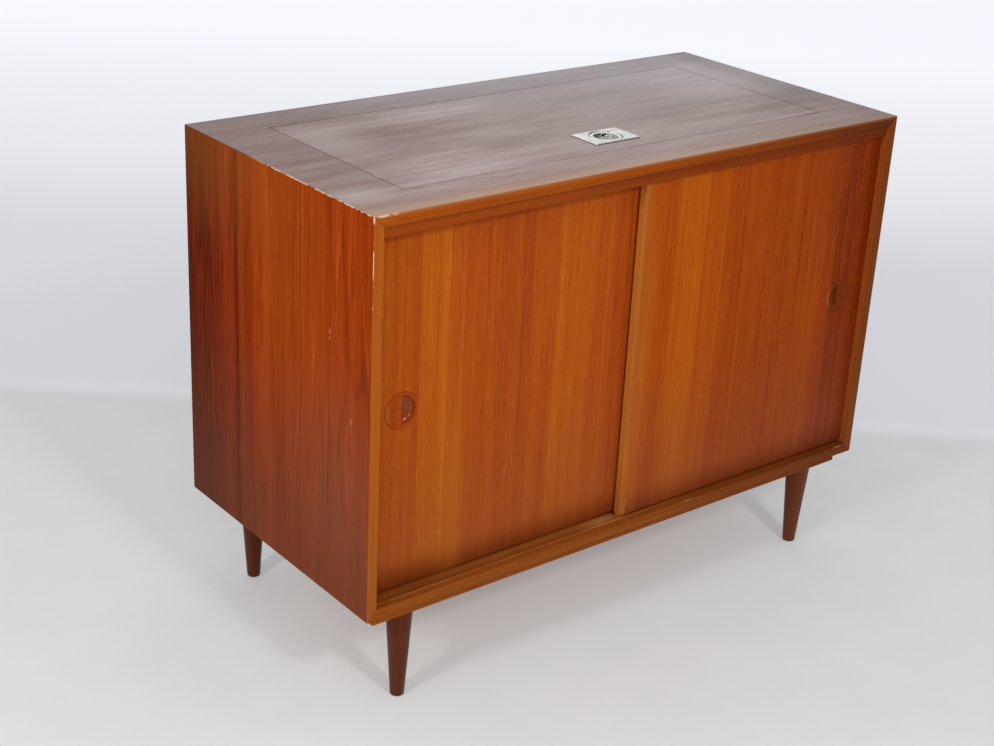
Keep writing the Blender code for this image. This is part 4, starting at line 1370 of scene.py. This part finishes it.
@dataclass
class Studio:
    """Camera, lights, world and the pale floor."""

    camera_at: Point = (-1.65096, -1.90680, 1.43885)
    camera_turn: Point = (1.157357, -0.046992, -0.664637)
    lens_mm: float = 61.824
    sensor_mm: float = 36.0
    view_reach: float = 60.0
    light_aim: Point = (-0.1, 0.0, 0.4)
    soft_boxes: tuple[SoftBox, ...] = (SoftBox("soft_box_near", (-1.5, -1.7, 1.3), 0.8, 7.0),
                                       SoftBox("soft_box_front", (-0.45, -2.9, 2.5), 0.4, 29.0),
                                       SoftBox("soft_box_left", (-2.6, -0.7, 1.7), 0.4, 18.5))
    soft_level: float = 0.57
    seen_level: float = 0.95
    gloss_front: float = 0.30
    gloss_back: float = 0.98
    gloss_turn: float = 0.6
    bright_way: Point = (-0.27, 0.91, 0.32)
    floor_half: float = 9.0
    floor_fade: tuple[float, float] = (2.5, 8.0)
    fade_glow: float = 0.5
    cloud_mm: float = 200
    cloud_detail: float = 7.0
    cloud_roughness: float = 0.65
    far_slope: float = 0.82
    far_from: float = 0.72
    far_blend: tuple[float, float] = (-0.03, 0.06)
    far_end: float = 5.0

    def build(self) -> None:
        """Make everything round the object."""
        self.make_camera()
        self.make_lights()
        self.make_world()
        self.make_floor()

    def make_camera(self) -> None:
        """Stand the camera where the photograph was taken from."""
        data = bpy.data.cameras.new("camera")
        data.lens = self.lens_mm
        data.sensor_width = self.sensor_mm
        data.clip_end = self.view_reach
        camera = bpy.data.objects.new("camera", data)
        camera.location = self.camera_at
        camera.rotation_euler = Euler(self.camera_turn, "XYZ")
        bpy.context.scene.collection.objects.link(camera)
        bpy.context.scene.camera = camera

    def make_lights(self) -> None:
        """Hang a soft box in front of the doors, one beside the left end and a weak one between them."""
        for box in self.soft_boxes:
            data = bpy.data.lights.new(box.name, "AREA")
            data.shape = "SQUARE"
            data.size = box.size
            data.energy = box.power
            light = bpy.data.objects.new(box.name, data)
            light.location = box.place
            way = Vector(self.light_aim) - Vector(box.place)
            light.rotation_euler = way.to_track_quat("-Z", "Y").to_euler()
            bpy.context.scene.collection.objects.link(light)

    def make_world(self) -> None:
        """Light the object softly from all round; gloss sees a white back and a dimmer front."""
        world = bpy.data.worlds.new("studio")
        bpy.context.scene.world = world
        world.use_nodes = True
        tree = world.node_tree
        way = add_node(tree, "ShaderNodeTexCoord").outputs["Generated"]
        facing = add_node(tree, "ShaderNodeVectorMath", {0: way, 1: self.bright_way}, operation="DOT_PRODUCT")
        mirrored = add_node(tree, "ShaderNodeMapRange",
                            {"Value": facing.outputs["Value"], "From Min": 0.0, "From Max": self.gloss_turn,
                             "To Min": self.gloss_front, "To Max": self.gloss_back})
        path = add_node(tree, "ShaderNodeLightPath")
        glossy = path.outputs["Is Glossy Ray"]
        seen = add_node(tree, "ShaderNodeMath", {0: path.outputs["Is Camera Ray"], 1: glossy},
                        operation="MAXIMUM")
        seen = add_node(tree, "ShaderNodeMath", {0: seen, 1: path.outputs["Is Transmission Ray"]},
                        operation="MAXIMUM")
        shown = add_node(tree, "ShaderNodeMix", {FACTOR: glossy, FLOAT_A: self.seen_level, FLOAT_B: mirrored},
                         data_type="FLOAT")
        level = add_node(tree, "ShaderNodeMix", {FACTOR: seen, FLOAT_A: self.soft_level, FLOAT_B: shown},
                         data_type="FLOAT")
        feed(tree, tree.nodes["Background"], {"Color": linear("#f4f5f8"), "Strength": level})

    def make_floor(self) -> None:
        """Lay the floor."""
        bm = bmesh.new()
        bmesh.ops.create_grid(bm, x_segments=8, y_segments=8, size=self.floor_half)
        mesh = bpy.data.meshes.new("studio_floor")
        bm.to_mesh(mesh)
        bm.free()
        mesh.materials.append(self.concrete())
        floor = bpy.data.objects.new("studio_floor", mesh)
        bpy.context.scene.collection.objects.link(floor)

    def concrete(self) -> Material:
        """Make the floor's material.

        Returns:
            The finish.
        """
        # Pale concrete, painted: matt and faintly clouded. It glows a little everywhere, a painted light that
        # lightens the object's shadow on it, and glows more towards the back of the studio.
        material, tree, shader = new_material("pale_concrete_floor")
        coords = add_node(tree, "ShaderNodeTexCoord").outputs["Object"]
        split = add_node(tree, "ShaderNodeSeparateXYZ", {0: coords})
        away = add_node(tree, "ShaderNodeMath",
                        {0: split.outputs["X"], 1: self.far_slope, 2: split.outputs["Y"]},
                        operation="MULTIPLY_ADD")
        far = add_node(tree, "ShaderNodeMapRange",
                       {"Value": away, "From Min": self.far_from + self.far_blend[0],
                        "From Max": self.far_from + self.far_blend[1]}, interpolation_type="SMOOTHSTEP")
        clouds = add_node(tree, "ShaderNodeTexNoise",
                          {"Vector": coords, "Scale": 1 / (self.cloud_mm * MM), "Detail": self.cloud_detail,
                           "Roughness": self.cloud_roughness})
        near = add_node(tree, "ShaderNodeMix", {FACTOR: clouds, COLOUR_A: linear("#c6c8c6"),
                                                COLOUR_B: linear("#d4d6d4")}, data_type="RGBA")
        colour = add_node(tree, "ShaderNodeMix", {FACTOR: far, COLOUR_A: near.outputs[COLOUR_OUT],
                                                  COLOUR_B: linear("#e9eaee")}, data_type="RGBA")
        # The backdrop brightens with distance.
        depth = add_node(tree, "ShaderNodeMapRange", {"Value": away, "From Min": self.far_from,
                                                      "From Max": self.far_end})
        glow = add_node(tree, "ShaderNodeValToRGB", {"Fac": depth})
        set_stops(glow, [(0.0, grey(0.22)), (0.02, grey(0.15)), (0.3, grey(0.20)), (0.5, grey(0.36)),
                         (1.0, grey(0.54))])
        # Far off, on every side, the floor fades into the pale surroundings.
        out = add_node(tree, "ShaderNodeVectorMath", {0: coords}, operation="LENGTH")
        fade = add_node(tree, "ShaderNodeMapRange",
                        {"Value": out.outputs["Value"], "From Min": self.floor_fade[0],
                         "From Max": self.floor_fade[1], "To Max": self.fade_glow},
                        interpolation_type="SMOOTHSTEP")
        both = add_node(tree, "ShaderNodeMath", {0: glow, 1: fade}, operation="MAXIMUM")
        feed(tree, shader, {"Base Color": colour.outputs[COLOUR_OUT], "Roughness": 0.8,
                            "Emission Color": linear("#f0f2f8"), "Emission Strength": both})
        return material


def main() -> None:
    """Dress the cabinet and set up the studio."""
    logging.basicConfig(level=logging.INFO, format="%(name)s: %(message)s")
    bpy.context.scene.view_settings.view_transform = "Standard"
    finishes = Finishes()
    Case(finishes).build()
    Legs(finishes).build()
    for hand in Hand:
        Door(finishes, hand).build()
    Lid(finishes).build()
    FlushPull(finishes).build()
    Studio().build()


if __name__ == "__main__":
    main()
